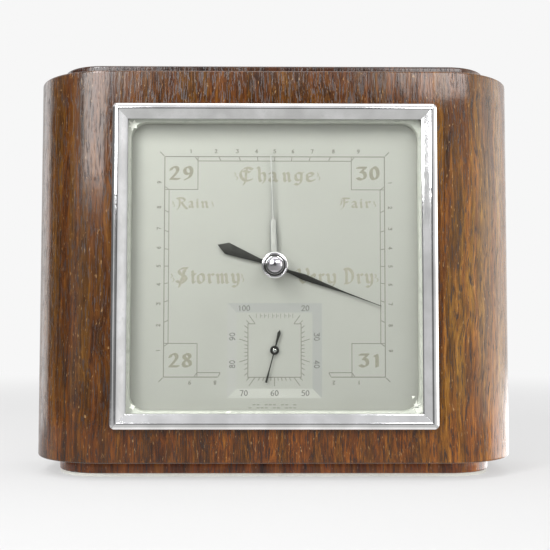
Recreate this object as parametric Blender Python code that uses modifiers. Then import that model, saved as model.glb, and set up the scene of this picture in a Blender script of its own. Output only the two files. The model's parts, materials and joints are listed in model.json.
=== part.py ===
"""Mantel aneroid barometer with a dial thermometer: oak-veneered case, chromed square bezel, aneroid movement.

Metres, +Z up, front towards -Y, origin under the middle of the case at the height of what it stands on.
Along Y, the text below speaks of depth: the distance behind the plane of the case's front, negative in front of it.
"""

import math

import bmesh
import bpy
from mathutils import Matrix, Vector

MM = 0.001
GAP = 0.3 * MM  # between pieces that touch

# Case
CASE_WIDTH = 196 * MM
CASE_HEIGHT = 153.6 * MM
CASE_DEPTH = 56 * MM
CASE_RADIUS = 32 * MM
WALL = 5 * MM
BOARD = 8 * MM
BAIZE = 1 * MM
PLINTH_HEIGHT = 4.9 * MM
PLINTH_INSET = 9.3 * MM
PLINTH_RADIUS = 20 * MM
CAP_HEIGHT = 4.4 * MM
CAP_INSET = 10 * MM
CAP_RADIUS = 18 * MM
BACK_PANEL = 3 * MM
BACK_SCREW_PROUD = 1.2 * MM

# Bezel, glass and dial, given as half sides of squares and as depths
BEZEL_HALF = 63.5 * MM
BEZEL_PROUD = 3 * MM
SIGHT_HALF = 57.4 * MM
SKIRT_HALF = 59.1 * MM
SKIRT_WALL = 0.7 * MM
SKIRT_DEPTH = 7.2 * MM
OPENING_HALF = 59.5 * MM
GLASS_HALF = 58.1 * MM
GLASS_FRONT = -0.7 * MM
GLASS_THICK = 2.8 * MM
SLIP_FRONT = 2.4 * MM
SLIP_THICK = 3.3 * MM
DIAL_FRONT = 6 * MM
DIAL_THICK = 0.8 * MM
KNOB_REACH = 5.6 * MM  # how far the knob's dome stands in front of the case
THERMOMETER_DROP = 33.2 * MM

# Movement, as depths
HAND_DEPTH = 4.9 * MM
ARBOR_BRIDGE_DEPTH = 10.9 * MM
HAIRSPRING_DEPTH = 13 * MM
CHAIN_DEPTH = 15.4 * MM
REAR_COCK_DEPTH = 17.4 * MM
LEVER_DEPTH = 20 * MM
MOVING_LEAF_DEPTH = 21.6 * MM
LINK_FRONT_DEPTH = 22 * MM
BEND_DEPTH = 25.3 * MM
SHAFT_DEPTH = 28 * MM
FIXED_LEAF_DEPTH = 29 * MM
SPRING_BRIDGE_DEPTH = 30.9 * MM
CAPSULE_SPLIT_DEPTH = 39.5 * MM
BASE_DEPTH = 44 * MM
BASE_THICK = 1.5 * MM
BASE_RADIUS = 44 * MM
CAPSULE_RADIUS = 26 * MM
BEND_DROP = 19 * MM  # the mainspring's hinge line below the capsule's axis
SHAFT_RISE = 32 * MM
SHORT_ARM = 6 * MM
CHAIN_OFFSET = 1.1 * MM  # radius at which the chain leaves the drum
ADJUSTER_X = 33.5 * MM
PILLAR_AT = 26.9 * MM
POST_X = 38.5 * MM

# Where the hands point, in degrees clockwise from straight up
PRESSURE_ANGLE = 110.5
SET_ANGLE = -2.0
THERMOMETER_ANGLE = 194.8

BODY_BOTTOM = BAIZE + GAP + PLINTH_HEIGHT + GAP
BODY_TOP = BODY_BOTTOM + CASE_HEIGHT
DIAL_Z = BODY_BOTTOM + 76.7 * MM
# The box of the whole object is centred on Y = 0.
FRONT_Y = -(CASE_DEPTH + BACK_SCREW_PROUD - KNOB_REACH) / 2

OAK = ("oak_veneer", (0.30, 0.135, 0.045), 0.3, 0.0)
DARK_OAK = ("dark_oak", (0.10, 0.05, 0.028), 0.35, 0.0)
PLY = ("plywood", (0.45, 0.30, 0.16), 0.7, 0.0)
BAIZE_CLOTH = ("baize", (0.04, 0.13, 0.06), 0.95, 0.0)
CHROME = ("chrome", (0.80, 0.80, 0.81), 0.1, 1.0)
SILVERED = ("silvered_dial", (0.66, 0.67, 0.63), 0.45, 0.3)
CREAM = ("cream_enamel", (0.78, 0.78, 0.72), 0.5, 0.0)
GLASS = ("glass", (0.9, 0.95, 0.93), 0.03, 0.0)
BLUED = ("black_steel", (0.05, 0.05, 0.045), 0.4, 0.8)
NICKEL = ("nickel", (0.62, 0.61, 0.58), 0.25, 1.0)
BRASS = ("brass", (0.65, 0.48, 0.20), 0.3, 1.0)
STEEL = ("spring_steel", (0.35, 0.36, 0.38), 0.35, 1.0)


# Scene


def clear_scene():
    for obj in list(bpy.data.objects):
        bpy.data.objects.remove(obj, do_unlink=True)


def new_collection(name):
    collection = bpy.data.collections.new(name)
    bpy.context.scene.collection.children.link(collection)
    return collection


def place(right, depth, up):
    """A point from its distance right of the dial's centre, depth behind the case front, and height over the centre."""
    return Vector((right, FRONT_Y + depth, DIAL_Z + up))


def paint(obj, look):
    slot_name, colour, roughness, metallic = look
    material = bpy.data.materials.get(slot_name)
    if material is None:
        material = bpy.data.materials.new(slot_name)
        material.use_nodes = True
        shader = material.node_tree.nodes["Principled BSDF"]
        shader.inputs["Base Color"].default_value = (*colour, 1.0)
        shader.inputs["Roughness"].default_value = roughness
        shader.inputs["Metallic"].default_value = metallic
        material.diffuse_color = (*colour, 1.0)
    obj.data.materials.clear()
    obj.data.materials.append(material)


def add(name, data, look):
    """A new object in the barometer's collection."""
    obj = bpy.data.objects.new(name, data)
    parts.objects.link(obj)
    paint(obj, look)
    return obj


def helper(obj):
    """Keep this object only as a cutter or as a shape that another one is joined to."""
    for collection in list(obj.users_collection):
        collection.objects.unlink(obj)
    cutters.objects.link(obj)
    obj.hide_render = True
    obj.display_type = "WIRE"
    return obj


def boolean(obj, others, operation):
    for other in others:
        modifier = obj.modifiers.new(f"{operation.lower()}_{other.name}", "BOOLEAN")
        modifier.operation = operation
        modifier.object = helper(other)
        modifier.solver = "EXACT"
    return obj


def cut(obj, *others):
    return boolean(obj, others, "DIFFERENCE")


def join(obj, *others):
    return boolean(obj, others, "UNION")


def as_mesh(curve_object):
    """The same object as a welded mesh, so that it can be cut or joined."""
    name = curve_object.name
    bpy.context.view_layer.update()
    graph = bpy.context.evaluated_depsgraph_get()
    mesh = bpy.data.meshes.new_from_object(curve_object.evaluated_get(graph))
    shape = bmesh.new()
    shape.from_mesh(mesh)
    bmesh.ops.remove_doubles(shape, verts=shape.verts, dist=1e-6)
    shape.to_mesh(mesh)
    shape.free()
    matrix = curve_object.matrix_world.copy()
    bpy.data.objects.remove(curve_object, do_unlink=True)
    solid = bpy.data.objects.new(name, mesh)
    parts.objects.link(solid)
    solid.matrix_world = matrix
    return solid


def carry(pivot, pieces):
    """Hang the pieces of one moving body on an empty that stands on its joint's axis."""
    name, point = pivot
    empty = bpy.data.objects.new(name, None)
    parts.objects.link(empty)
    empty.location = point
    bpy.context.view_layer.update()
    for piece in pieces:
        piece.parent = empty
        piece.matrix_parent_inverse = empty.matrix_world.inverted()


# Shapes


def arc(centre, radius, start, end, steps=8):
    """Points on an arc, angles in degrees."""
    turns = [math.radians(start + (end - start) * i / steps) for i in range(steps + 1)]
    return [(centre[0] + radius * math.cos(a), centre[1] + radius * math.sin(a)) for a in turns]


def circle(radius, centre=(0, 0), steps=24):
    return arc(centre, radius, 0, 360, steps)[:-1]


def rectangle(left, right, low, high):
    return [(left, low), (right, low), (right, high), (left, high)]


def rounded_square(half, radius, steps=4):
    core = half - radius
    corners = [(core, core), (-core, core), (-core, -core), (core, -core)]
    points = []
    for i, corner in enumerate(corners):
        points += arc(corner, radius, 90 * i, 90 * i + 90, steps)
    return points


def plan(half, front, back, radius, steps=10):
    """A case outline seen from above: square back corners, rounded front corners."""
    left = arc((-half + radius, front + radius), radius, 180, 270, steps)
    right = arc((half - radius, front + radius), radius, 270, 360, steps)
    return [(-half, back), *left, *right, (half, back)]


def sheet(name, outlines, thickness, look, at, face="front"):
    """A flat piece: its first outline is the edge, the others are holes. `at` is the middle of its thickness."""
    curve = bpy.data.curves.new(name, "CURVE")
    curve.dimensions = "2D"
    curve.fill_mode = "BOTH"
    curve.extrude = thickness / 2
    for outline in outlines:
        spline = curve.splines.new("POLY")
        spline.points.add(len(outline) - 1)
        spline.use_cyclic_u = True
        for point, (x, y) in zip(spline.points, outline):
            point.co = (x, y, 0, 1)
    obj = add(name, curve, look)
    obj.location = at
    # front: the outline is seen from the front. side: X runs back, Y up. above: X right, Y back.
    obj.rotation_euler = {
        "front": (math.pi / 2, 0, 0),
        "side": (math.pi / 2, 0, math.pi / 2),
        "above": (0, 0, 0),
    }[face]
    return obj


def solid_sheet(name, outlines, thickness, look, at, face="front"):
    """A flat piece as a mesh, for cutting and joining."""
    obj = as_mesh(sheet(name, outlines, thickness, look, at, face))
    paint(obj, look)
    return obj


def block(name, size, centre, look):
    shape = bmesh.new()
    bmesh.ops.create_cube(shape, size=1)
    bmesh.ops.scale(shape, vec=size, verts=shape.verts)
    mesh = bpy.data.meshes.new(name)
    shape.to_mesh(mesh)
    shape.free()
    obj = add(name, mesh, look)
    obj.location = centre
    return obj


def rod(name, radius, start, end, look, steps=16):
    """A round bar from one point to another."""
    start, end = Vector(start), Vector(end)
    shape = bmesh.new()
    bmesh.ops.create_cone(
        shape, cap_ends=True, segments=steps, radius1=radius, radius2=radius, depth=(end - start).length
    )
    mesh = bpy.data.meshes.new(name)
    shape.to_mesh(mesh)
    shape.free()
    mesh.shade_smooth()
    mesh.set_sharp_from_angle(angle=math.radians(40))
    obj = add(name, mesh, look)
    obj.location = (start + end) / 2
    obj.rotation_mode = "QUATERNION"
    obj.rotation_quaternion = Vector((0, 0, 1)).rotation_difference(end - start)
    return obj


def turned(name, profile, look, at, facing="front", steps=24, ring=False, turn=0.0):
    """A turned piece from (radius, height) points, which run down its outer side from the end that it faces."""
    mesh = bpy.data.meshes.new(name)
    count = len(profile)
    edges = [(i, i + 1) for i in range(count - 1)] + ([(count - 1, 0)] if ring else [])
    mesh.from_pydata([(radius, 0, height) for radius, height in profile], edges, [])
    obj = add(name, mesh, look)
    screw = obj.modifiers.new("turn", "SCREW")
    screw.axis = "Z"
    screw.steps = steps
    screw.render_steps = steps
    screw.use_merge_vertices = True
    screw.merge_threshold = 1e-6
    screw.use_smooth_shade = steps > 4
    tilt = {"front": math.pi / 2, "back": -math.pi / 2}[facing]
    obj.matrix_world = Matrix.Translation(at) @ Matrix.Rotation(tilt, 4, "X") @ Matrix.Rotation(turn, 4, "Z")
    return obj


def spiral_strip(name, at, inner, outer, turns, width, thickness, look, start, per_turn=16):
    """A flat spring strip wound on edge, its width along Y."""
    count = round(turns * per_turn)
    mesh = bpy.data.meshes.new(name)
    points = []
    for i in range(count + 1):
        radius = inner + (outer - inner) * i / count
        angle = math.radians(start) + 2 * math.pi * i / per_turn
        x, z = radius * math.cos(angle), radius * math.sin(angle)
        points += [(x, -width / 2, z), (x, width / 2, z)]
    faces = [(2 * i, 2 * i + 1, 2 * i + 3, 2 * i + 2) for i in range(count)]
    mesh.from_pydata(points, [], faces)
    obj = add(name, mesh, look)
    obj.location = at
    wall = obj.modifiers.new("wall", "SOLIDIFY")
    wall.thickness = thickness
    wall.offset = 0
    return obj


def hand_outline(stations, angle):
    """A hand's outline from (distance along it, half width) stations, turned clockwise from straight up."""
    turn = math.radians(angle)
    right = [(half, along) for along, half in stations]
    left = [(-half, along) for along, half in reversed(stations) if half > 0]
    points = right + left
    cos, sin = math.cos(turn), math.sin(turn)
    return [(x * cos + y * sin, y * cos - x * sin) for x, y in points]


# Case


def make_case():
    half = CASE_WIDTH / 2
    back = CASE_DEPTH
    outer = plan(half, 0, back, CASE_RADIUS)
    inner = plan(half - WALL, WALL, back, CASE_RADIUS - WALL)
    middle = Vector((0, FRONT_Y, (BODY_BOTTOM + BODY_TOP) / 2))
    shell = solid_sheet("case_shell", [outer + inner[::-1]], CASE_HEIGHT, OAK, middle, "above")
    opening = block(
        "opening_cutter",
        (2 * OPENING_HALF, 4 * WALL, 2 * OPENING_HALF),
        place(0, WALL / 2, 0),
        OAK,
    )
    cut(shell, opening)

    reach = WALL + GAP
    back_of_board = CASE_DEPTH - BACK_PANEL - 2 * GAP
    board = [plan(half - reach, reach, back_of_board, CASE_RADIUS - reach)]
    for name, level in (
        ("case_top_board", BODY_TOP - BOARD / 2),
        ("case_bottom_board", BODY_BOTTOM + BOARD / 2),
    ):
        solid_sheet(name, board, BOARD, OAK, (0, FRONT_Y, level), "above")

    cap = [plan(half - CAP_INSET, CAP_INSET, back, CAP_RADIUS)]
    sheet("top_cap", cap, CAP_HEIGHT, DARK_OAK, (0, FRONT_Y, BODY_TOP + GAP + CAP_HEIGHT / 2), "above")
    plinth = [plan(half - PLINTH_INSET, PLINTH_INSET, back, PLINTH_RADIUS)]
    level = BAIZE + GAP + PLINTH_HEIGHT / 2
    sheet("plinth", plinth, PLINTH_HEIGHT, DARK_OAK, (0, FRONT_Y, level), "above")
    inset = PLINTH_INSET + 2 * MM
    cloth = [plan(half - inset, inset, back - 2 * MM, PLINTH_RADIUS - 2 * MM)]
    sheet("base_baize", cloth, BAIZE, BAIZE_CLOTH, (0, FRONT_Y, BAIZE / 2), "above")


def make_back():
    """The back panel with the adjuster's hole and its vents, and the four screws that hold it to the boards."""
    half_width = CASE_WIDTH / 2 - WALL - GAP
    low = BODY_BOTTOM + GAP - DIAL_Z
    high = BODY_TOP - GAP - DIAL_Z
    screw_x = half_width - 18 * MM
    screw_rises = (low + BOARD / 2, high - BOARD / 2)
    outlines = [rectangle(-half_width, half_width, low, high), circle(6 * MM, (ADJUSTER_X, 0))]
    slot_half, slot_radius = 11 * MM, 2 * MM
    for column in (-1, 0, 1):
        for row in (0, 1, 2):
            x, z = column * 34 * MM, (-58 + 9 * row) * MM
            left = arc((x - slot_half, z), slot_radius, 90, 270, 6)
            right = arc((x + slot_half, z), slot_radius, -90, 90, 6)
            outlines.append(left + right)
    corners = [(x, rise) for x in (-screw_x, screw_x) for rise in screw_rises]
    outlines += [circle(1.9 * MM, corner, 16) for corner in corners]
    depth = CASE_DEPTH - GAP - BACK_PANEL / 2
    sheet("back_panel", outlines, BACK_PANEL, PLY, place(0, depth, 0))

    head = [(0, 1.5), (1.6, 1.4), (3.0, 0.9), (3.4, 0.3), (1.5, 0.3), (1.5, -12), (0.9, -14), (0, -14.6)]
    hole = [(0, 2), (1.8, 2), (1.8, -16), (0, -16)]
    seat = CASE_DEPTH + BACK_SCREW_PROUD - 1.5 * MM
    for number, (x, rise) in enumerate(corners, 1):
        at = place(x, seat, rise)
        screw = turned(f"back_screw_{number}", scaled(head), BRASS, at, "back", 16)
        cut(screw, block(f"back_slot_{number}", (8 * MM, 1.2 * MM, 0.8 * MM), place(x, seat + 1.5 * MM, rise), BRASS))
        board = "case_bottom_board" if rise < 0 else "case_top_board"
        cut(bpy.data.objects[board], turned(f"back_pilot_{number}", scaled(hole), OAK, at, "back", 16))


def scaled(profile):
    """A profile given in millimetres."""
    return [(radius * MM, height * MM) for radius, height in profile]


# Bezel, glass and dial


def make_bezel():
    """A mitred square frame: a Screw of four steps turns its section into a square, and a rounded block trims it."""
    b, s, k = BEZEL_HALF, SIGHT_HALF, SKIRT_HALF
    top = BEZEL_PROUD
    section = [
        (b - 1.0 * MM, top),
        (b - 0.35 * MM, top - 0.25 * MM),
        (b, top - 0.9 * MM),
        (b, GAP),
        (k, GAP),
        (k, -SKIRT_DEPTH),
        (k - SKIRT_WALL, -SKIRT_DEPTH),
        (k - SKIRT_WALL, -GLASS_FRONT + GAP),
        (s, -GLASS_FRONT + GAP),
        (s, -GLASS_FRONT + 0.7 * MM),
        (s + 0.3 * MM, -GLASS_FRONT + 0.9 * MM),
        (b - 2.2 * MM, top - 0.7 * MM),
        (b - 1.7 * MM, top - 0.15 * MM),
    ]
    profile = [(half * math.sqrt(2), height) for half, height in section]
    bezel = turned("bezel", profile, CHROME, place(0, 0, 0), "front", 4, ring=True, turn=math.pi / 4)
    trim = solid_sheet("bezel_trim", [rounded_square(BEZEL_HALF, 2.2 * MM)], 30 * MM, CHROME, place(0, 0, 0))
    boolean(bezel, [trim], "INTERSECT")


def make_glass_and_dial():
    glass = [rounded_square(GLASS_HALF, 1.5 * MM), circle(2.1 * MM)]
    sheet("dial_glass", glass, GLASS_THICK, GLASS, place(0, GLASS_FRONT + GLASS_THICK / 2, 0))
    slip = [rounded_square(GLASS_HALF, 1.5 * MM), rounded_square(SIGHT_HALF - 0.6 * MM, 6 * MM, 6)]
    sheet("slip_frame", slip, SLIP_THICK, CREAM, place(0, SLIP_FRONT + SLIP_THICK / 2, 0))
    dial = [
        rounded_square(GLASS_HALF, 1.5 * MM),
        circle(1.2 * MM, steps=12),
        circle(0.9 * MM, (0, -THERMOMETER_DROP), 12),
    ]
    sheet("dial_plate", dial, DIAL_THICK, SILVERED, place(0, DIAL_FRONT + DIAL_THICK / 2, 0))


def make_clips():
    """Four bent straps, screwed inside the case front, that hold the bezel's skirt and the dial."""
    # Section of a strap, seen along the front: X outwards from the dial's centre, Y in depth.
    foot, heel, step, rim = 60.3 * MM, 68.3 * MM, 61.4 * MM, 57 * MM
    section = [
        (foot, 5.3 * MM),
        (heel, 5.3 * MM),
        (heel, 6.3 * MM),
        (step, 6.3 * MM),
        (step, 8.6 * MM),
        (rim, 8.6 * MM),
        (rim, 7.6 * MM),
        (foot, 7.6 * MM),
    ]
    screw = scaled([(0, 1.2), (1.4, 1.1), (2.3, 0.4), (2.3, 0), (1.1, 0), (1.1, -4.0), (0, -4.4)])
    hole = scaled([(0, 8), (1.4, 8), (1.4, -4.8), (0, -4.8)])
    shell = bpy.data.objects["case_shell"]
    for number in range(4):
        turn = Matrix.Rotation(number * math.pi / 2, 4, "Y")
        out = turn @ Vector((65 * MM, 0, 0))
        clip = solid_sheet(f"bezel_clip_{number + 1}", [section], 10 * MM, BRASS, (0, 0, 0), "above")
        clip.matrix_world = Matrix.Translation(place(0, 0, 0)) @ turn
        at = place(out.x, 6.6 * MM, out.z)
        cut(clip, turned(f"clip_hole_{number + 1}", hole, BRASS, at, "back", 12))
        cut(shell, turned(f"clip_pilot_{number + 1}", hole, OAK, at, "back", 12))
        turned(f"clip_screw_{number + 1}", screw, BRASS, at, "back", 12)


def make_set_hand():
    """The knob in front of the glass and the index hand behind it, which turn together in a bush in the glass."""
    bush = scaled([(5.2, 1.6), (5.2, 1.3), (4.9, 1.0), (1.8, 1.0), (1.8, -3.0), (1.15, -3.0), (1.15, 1.8), (4.6, 1.8)])
    turned("set_hand_bush", bush, CHROME, place(0, 0, 0), "front", 36, ring=True)
    nut = scaled([(3.4, -2.4), (3.4, -3.0), (2.1, -3.0), (2.1, -2.4)])
    turned("set_hand_nut", nut, BRASS, place(0, 0, 0), "front", 6, ring=True)

    dome = [(3.1 * math.cos(math.radians(a)), 2.5 + 3.1 * math.sin(math.radians(a))) for a in (75, 60, 45, 30, 15, 0)]
    profile = [(0, 5.6), *dome, (3.1, 2.1), (0.95, 2.1), (0.95, -3.9), (0, -3.9)]
    knob = turned("set_hand_knob", scaled(profile), CHROME, place(0, 0, 0), "front", 32)
    stations = [(-2.6, 1.0), (-1.4, 2.3), (1.4, 2.3), (3.0, 1.65), (17.8, 1.35), (18.8, 0.3), (44.0, 0.12)]
    blade = hand_outline([(along * MM, half * MM) for along, half in stations], SET_ANGLE)
    hand = sheet("set_hand", [blade, circle(1.2 * MM, steps=16)], 0.4 * MM, NICKEL, place(0, 3.5 * MM, 0))
    carry(("set_hand_axis", place(0, 0, 0)), [knob, hand])


# Movement frame


def make_frame():
    pillars = [(x, z) for x in (-PILLAR_AT, PILLAR_AT) for z in (-PILLAR_AT, PILLAR_AT)]
    base = [
        circle(BASE_RADIUS, steps=48),
        circle(3.4 * MM, steps=16),
        circle(1.8 * MM, (ADJUSTER_X, 0), 16),
        *[circle(1.5 * MM, centre, 12) for centre in pillars],
        *[circle(1.3 * MM, (x, 0), 12) for x in (-POST_X, POST_X)],
    ]
    sheet("movement_base_plate", base, BASE_THICK, BRASS, place(0, BASE_DEPTH + BASE_THICK / 2, 0))

    front, shoulder = DIAL_FRONT + DIAL_THICK + GAP, BASE_DEPTH - GAP
    tail = BASE_DEPTH + BASE_THICK + 0.8 * MM
    pillar = [(0, -front), (2 * MM, -front), (2 * MM, -shoulder), (1.2 * MM, -shoulder), (1.2 * MM, -tail), (0, -tail)]
    for number, (x, z) in enumerate(pillars, 1):
        turned(f"dial_pillar_{number}", pillar, BRASS, place(x, 0, z), "front", 16)

    bridge = [
        arc((POST_X, 0), 4 * MM, -90, 90, 8) + arc((-POST_X, 0), 4 * MM, 90, 270, 8),
        circle(0.8 * MM, steps=12),
        *[circle(1.3 * MM, (x, 0), 12) for x in (-POST_X, POST_X)],
    ]
    sheet("arbor_bridge", bridge, MM, BRASS, place(0, ARBOR_BRIDGE_DEPTH, 0))
    lead, neck = ARBOR_BRIDGE_DEPTH - 0.9 * MM, ARBOR_BRIDGE_DEPTH + 0.8 * MM
    post = [
        (0, -lead),
        (MM, -lead),
        (MM, -neck),
        (1.8 * MM, -neck),
        (1.8 * MM, -shoulder),
        (MM, -shoulder),
        (MM, -tail),
        (0, -tail),
    ]
    for side, x in (("left", -POST_X), ("right", POST_X)):
        turned(f"bridge_post_{side}", post, BRASS, place(x, 0, 0), "front", 16)

    top, floor = ARBOR_BRIDGE_DEPTH + 0.8 * MM, REAR_COCK_DEPTH + 0.4 * MM
    cock = [
        (-8.5 * MM, top),
        (-7.5 * MM, top),
        (-7.5 * MM, floor - 0.8 * MM),
        (7.5 * MM, floor - 0.8 * MM),
        (7.5 * MM, top),
        (8.5 * MM, top),
        (8.5 * MM, floor),
        (-8.5 * MM, floor),
    ]
    rear = solid_sheet("arbor_rear_cock", [cock], 5 * MM, BRASS, place(0, 0, 0), "above")
    cut(rear, rod("cock_bore", 0.6 * MM, place(0, floor - 3 * MM, 0), place(0, floor + 3 * MM, 0), BRASS, 12))


def make_adjuster():
    """The screw at the back that bears on the mainspring bridge and sets the hand to the local pressure."""
    back = BASE_DEPTH + BASE_THICK + GAP
    profile = [(0, 2.2 * MM), (2.2 * MM, 2.2 * MM), (2.6 * MM, 1.8 * MM), (2.6 * MM, 0), (1.5 * MM, 0)]
    profile += [(1.5 * MM, -1.8 * MM), (0, -1.8 * MM)]
    at = place(ADJUSTER_X, back, 0)
    screw = turned("adjusting_screw", profile, BRASS, at, "back", 20)
    cut(screw, block("adjuster_slot", (8 * MM, 1.6 * MM, 0.9 * MM), at + Vector((0, 2.2 * MM, 0)), BRASS))
    carry(("adjusting_screw_axis", at), [screw])


# Movement


def capsule_wall(rise):
    """A corrugated diaphragm's height over its own rim line, from the rim inwards."""
    radii = [24.5, 22, 19.5, 17, 14.5, 12, 9.5]
    return [(radius * MM, rise + (0.5 * MM if i % 2 else -0.3 * MM)) for i, radius in enumerate(radii)]


def make_capsule():
    """Two corrugated halves. The rear one is fixed to the base plate, the front one moves and carries the stud."""
    wall = 0.6 * MM
    rear_rise = BASE_DEPTH - GAP - CAPSULE_SPLIT_DEPTH - 0.8 * MM
    outside = capsule_wall(rear_rise)
    tail = BASE_DEPTH + BASE_THICK + 1.2 * MM - CAPSULE_SPLIT_DEPTH
    rear = [(0, tail), (2.9 * MM, tail), (2.9 * MM, rear_rise + 0.6 * MM), (7 * MM, rear_rise + 0.6 * MM)]
    rear += outside[::-1]
    rear += [(CAPSULE_RADIUS, 1.2 * MM), (CAPSULE_RADIUS, 0), (CAPSULE_RADIUS - wall, 0)]
    rear += [(CAPSULE_RADIUS - wall, 0.8 * MM)]
    rear += [(radius, height - wall) for radius, height in outside]
    rear += [(7 * MM, rear_rise - wall), (0, rear_rise - wall)]
    turned("capsule_rear_half", rear, NICKEL, place(0, CAPSULE_SPLIT_DEPTH + 0.25 * MM, 0), "back", 32)

    front_rise = 3.2 * MM
    outside = capsule_wall(front_rise)
    stud_top = CAPSULE_SPLIT_DEPTH - (LEVER_DEPTH - 0.5 * MM)
    front = [(0, stud_top), (1.5 * MM, stud_top), (1.5 * MM, front_rise + 1.6 * MM), (5 * MM, front_rise + 1.0 * MM)]
    front += outside[::-1]
    front += [(CAPSULE_RADIUS, 1.2 * MM), (CAPSULE_RADIUS, 0), (CAPSULE_RADIUS - wall, 0)]
    front += [(CAPSULE_RADIUS - wall, 0.8 * MM)]
    front += [(radius, height - wall) for radius, height in outside]
    front += [(5 * MM, front_rise - wall), (0, front_rise - wall)]
    half = turned("capsule_front_half", front, NICKEL, place(0, CAPSULE_SPLIT_DEPTH - 0.25 * MM, 0), "front", 32)
    depth = MOVING_LEAF_DEPTH - 0.9 * MM
    ring = [(3.2 * MM, 0), (3.2 * MM, -1.2 * MM), (1.8 * MM, -1.2 * MM), (1.8 * MM, 0)]
    nut = turned("capsule_nut", ring, BRASS, place(0, depth - 1.2 * MM, 0), "front", 6, ring=True)
    carry(("capsule_axis", place(0, CAPSULE_SPLIT_DEPTH, 0)), [half, nut])


def make_mainspring():
    """The bridge over the capsule, and the C spring on it, which pulls the capsule open."""
    top, floor = SPRING_BRIDGE_DEPTH - MM, BASE_DEPTH - GAP
    leg, foot = 32 * MM, 35.5 * MM
    section = [
        (-leg, top),
        (leg, top),
        (leg, floor - 1.5 * MM),
        (foot, floor - 1.5 * MM),
        (foot, floor),
        (leg - 2 * MM, floor),
        (leg - 2 * MM, top + 2 * MM),
        (-leg + 2 * MM, top + 2 * MM),
        (-leg + 2 * MM, floor),
        (-foot, floor),
        (-foot, floor - 1.5 * MM),
        (-leg, floor - 1.5 * MM),
    ]
    bridge = solid_sheet("mainspring_bridge", [section], 16 * MM, BRASS, place(0, 0, 0), "above")
    bore = [place(0, FIXED_LEAF_DEPTH - 4 * MM, 0), place(0, SPRING_BRIDGE_DEPTH + 4 * MM, 0)]
    cut(bridge, rod("bridge_bore", 2.2 * MM, *bore, BRASS, 16))

    # The leaves are drawn from the side: X in depth, Y up from the dial's centre.
    half, end = 0.6 * MM, 8 * MM
    reach = FIXED_LEAF_DEPTH - BEND_DEPTH
    bend = (BEND_DEPTH, -BEND_DROP)
    outline = arc(bend, reach + half, 0, -177, 14) + arc(bend, reach - half, -176, 0, 14)
    outline += [(FIXED_LEAF_DEPTH - half, end), (FIXED_LEAF_DEPTH + half, end)]
    fixed = solid_sheet("mainspring_fixed_leaf", [outline], 22 * MM, STEEL, place(0, 0, 0), "side")
    cut(fixed, rod("fixed_leaf_bore", 2.2 * MM, *bore, STEEL, 16))

    near, far = MOVING_LEAF_DEPTH - half, MOVING_LEAF_DEPTH + half
    outline = rectangle(near, far, -BEND_DROP + 0.3 * MM, end)
    moving = solid_sheet("mainspring_moving_leaf", [outline], 22 * MM, STEEL, place(0, 0, 0), "side")
    bore = [place(0, near - 3 * MM, 0), place(0, far + 3 * MM, 0)]
    cut(moving, rod("moving_leaf_bore", 2.1 * MM, *bore, STEEL, 16))
    return moving


def make_lever(moving_leaf):
    """The main lever on the moving leaf, with a lug and a pin for the link at its end."""
    left, right = -11 * MM, -5.5 * MM
    rise = SHAFT_RISE + SHORT_ARM
    low, high = -6 * MM, rise + 2 * MM
    lever = block(
        "main_lever",
        (right - left, 1.2 * MM, high - low),
        place((left + right) / 2, LEVER_DEPTH, (low + high) / 2),
        STEEL,
    )
    lug_x, lug_depth = -10 * MM, LEVER_DEPTH + 2 * MM
    lug = block("lever_lug", (1.2 * MM, 4.4 * MM, 4 * MM), place(lug_x, lug_depth, rise), STEEL)
    join(lever, lug)
    hole = [place(-13 * MM, LINK_FRONT_DEPTH, rise), place(-8 * MM, LINK_FRONT_DEPTH, rise)]
    cut(lever, rod("lug_bore", 0.7 * MM, *hole, STEEL, 12))
    # The lever is cut away beside the lug, so that the link can swing.
    cut(lever, block("lever_relief", (4 * MM, 3 * MM, 6 * MM), place(-7.2 * MM, LEVER_DEPTH, rise), STEEL))
    pin = rod("link_pin_front", 0.5 * MM, place(-11 * MM, LINK_FRONT_DEPTH, rise),
              place(-7.6 * MM, LINK_FRONT_DEPTH, rise), BRASS, 12)
    carry(("main_lever_axis", place(0, BEND_DEPTH, -BEND_DROP)), [moving_leaf, lever, pin])

    # The link's eyes: the front one turns on the lever's pin, the rear one has clearance round the arm's pin.
    front, back = LINK_FRONT_DEPTH, SHAFT_DEPTH
    outline = arc((front, rise), 1.5 * MM, 90, 270, 8) + arc((back, rise), 1.5 * MM, -90, 90, 8)
    eyes = [circle(0.7 * MM, (front, rise), 16), circle(0.85 * MM, (back, rise), 16)]
    link = sheet("link", [outline, *eyes], 0.8 * MM, BRASS, place(-8.3 * MM, 0, 0), "side")
    carry(("link_axis", place(-8.3 * MM, LINK_FRONT_DEPTH, rise)), [link])


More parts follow.
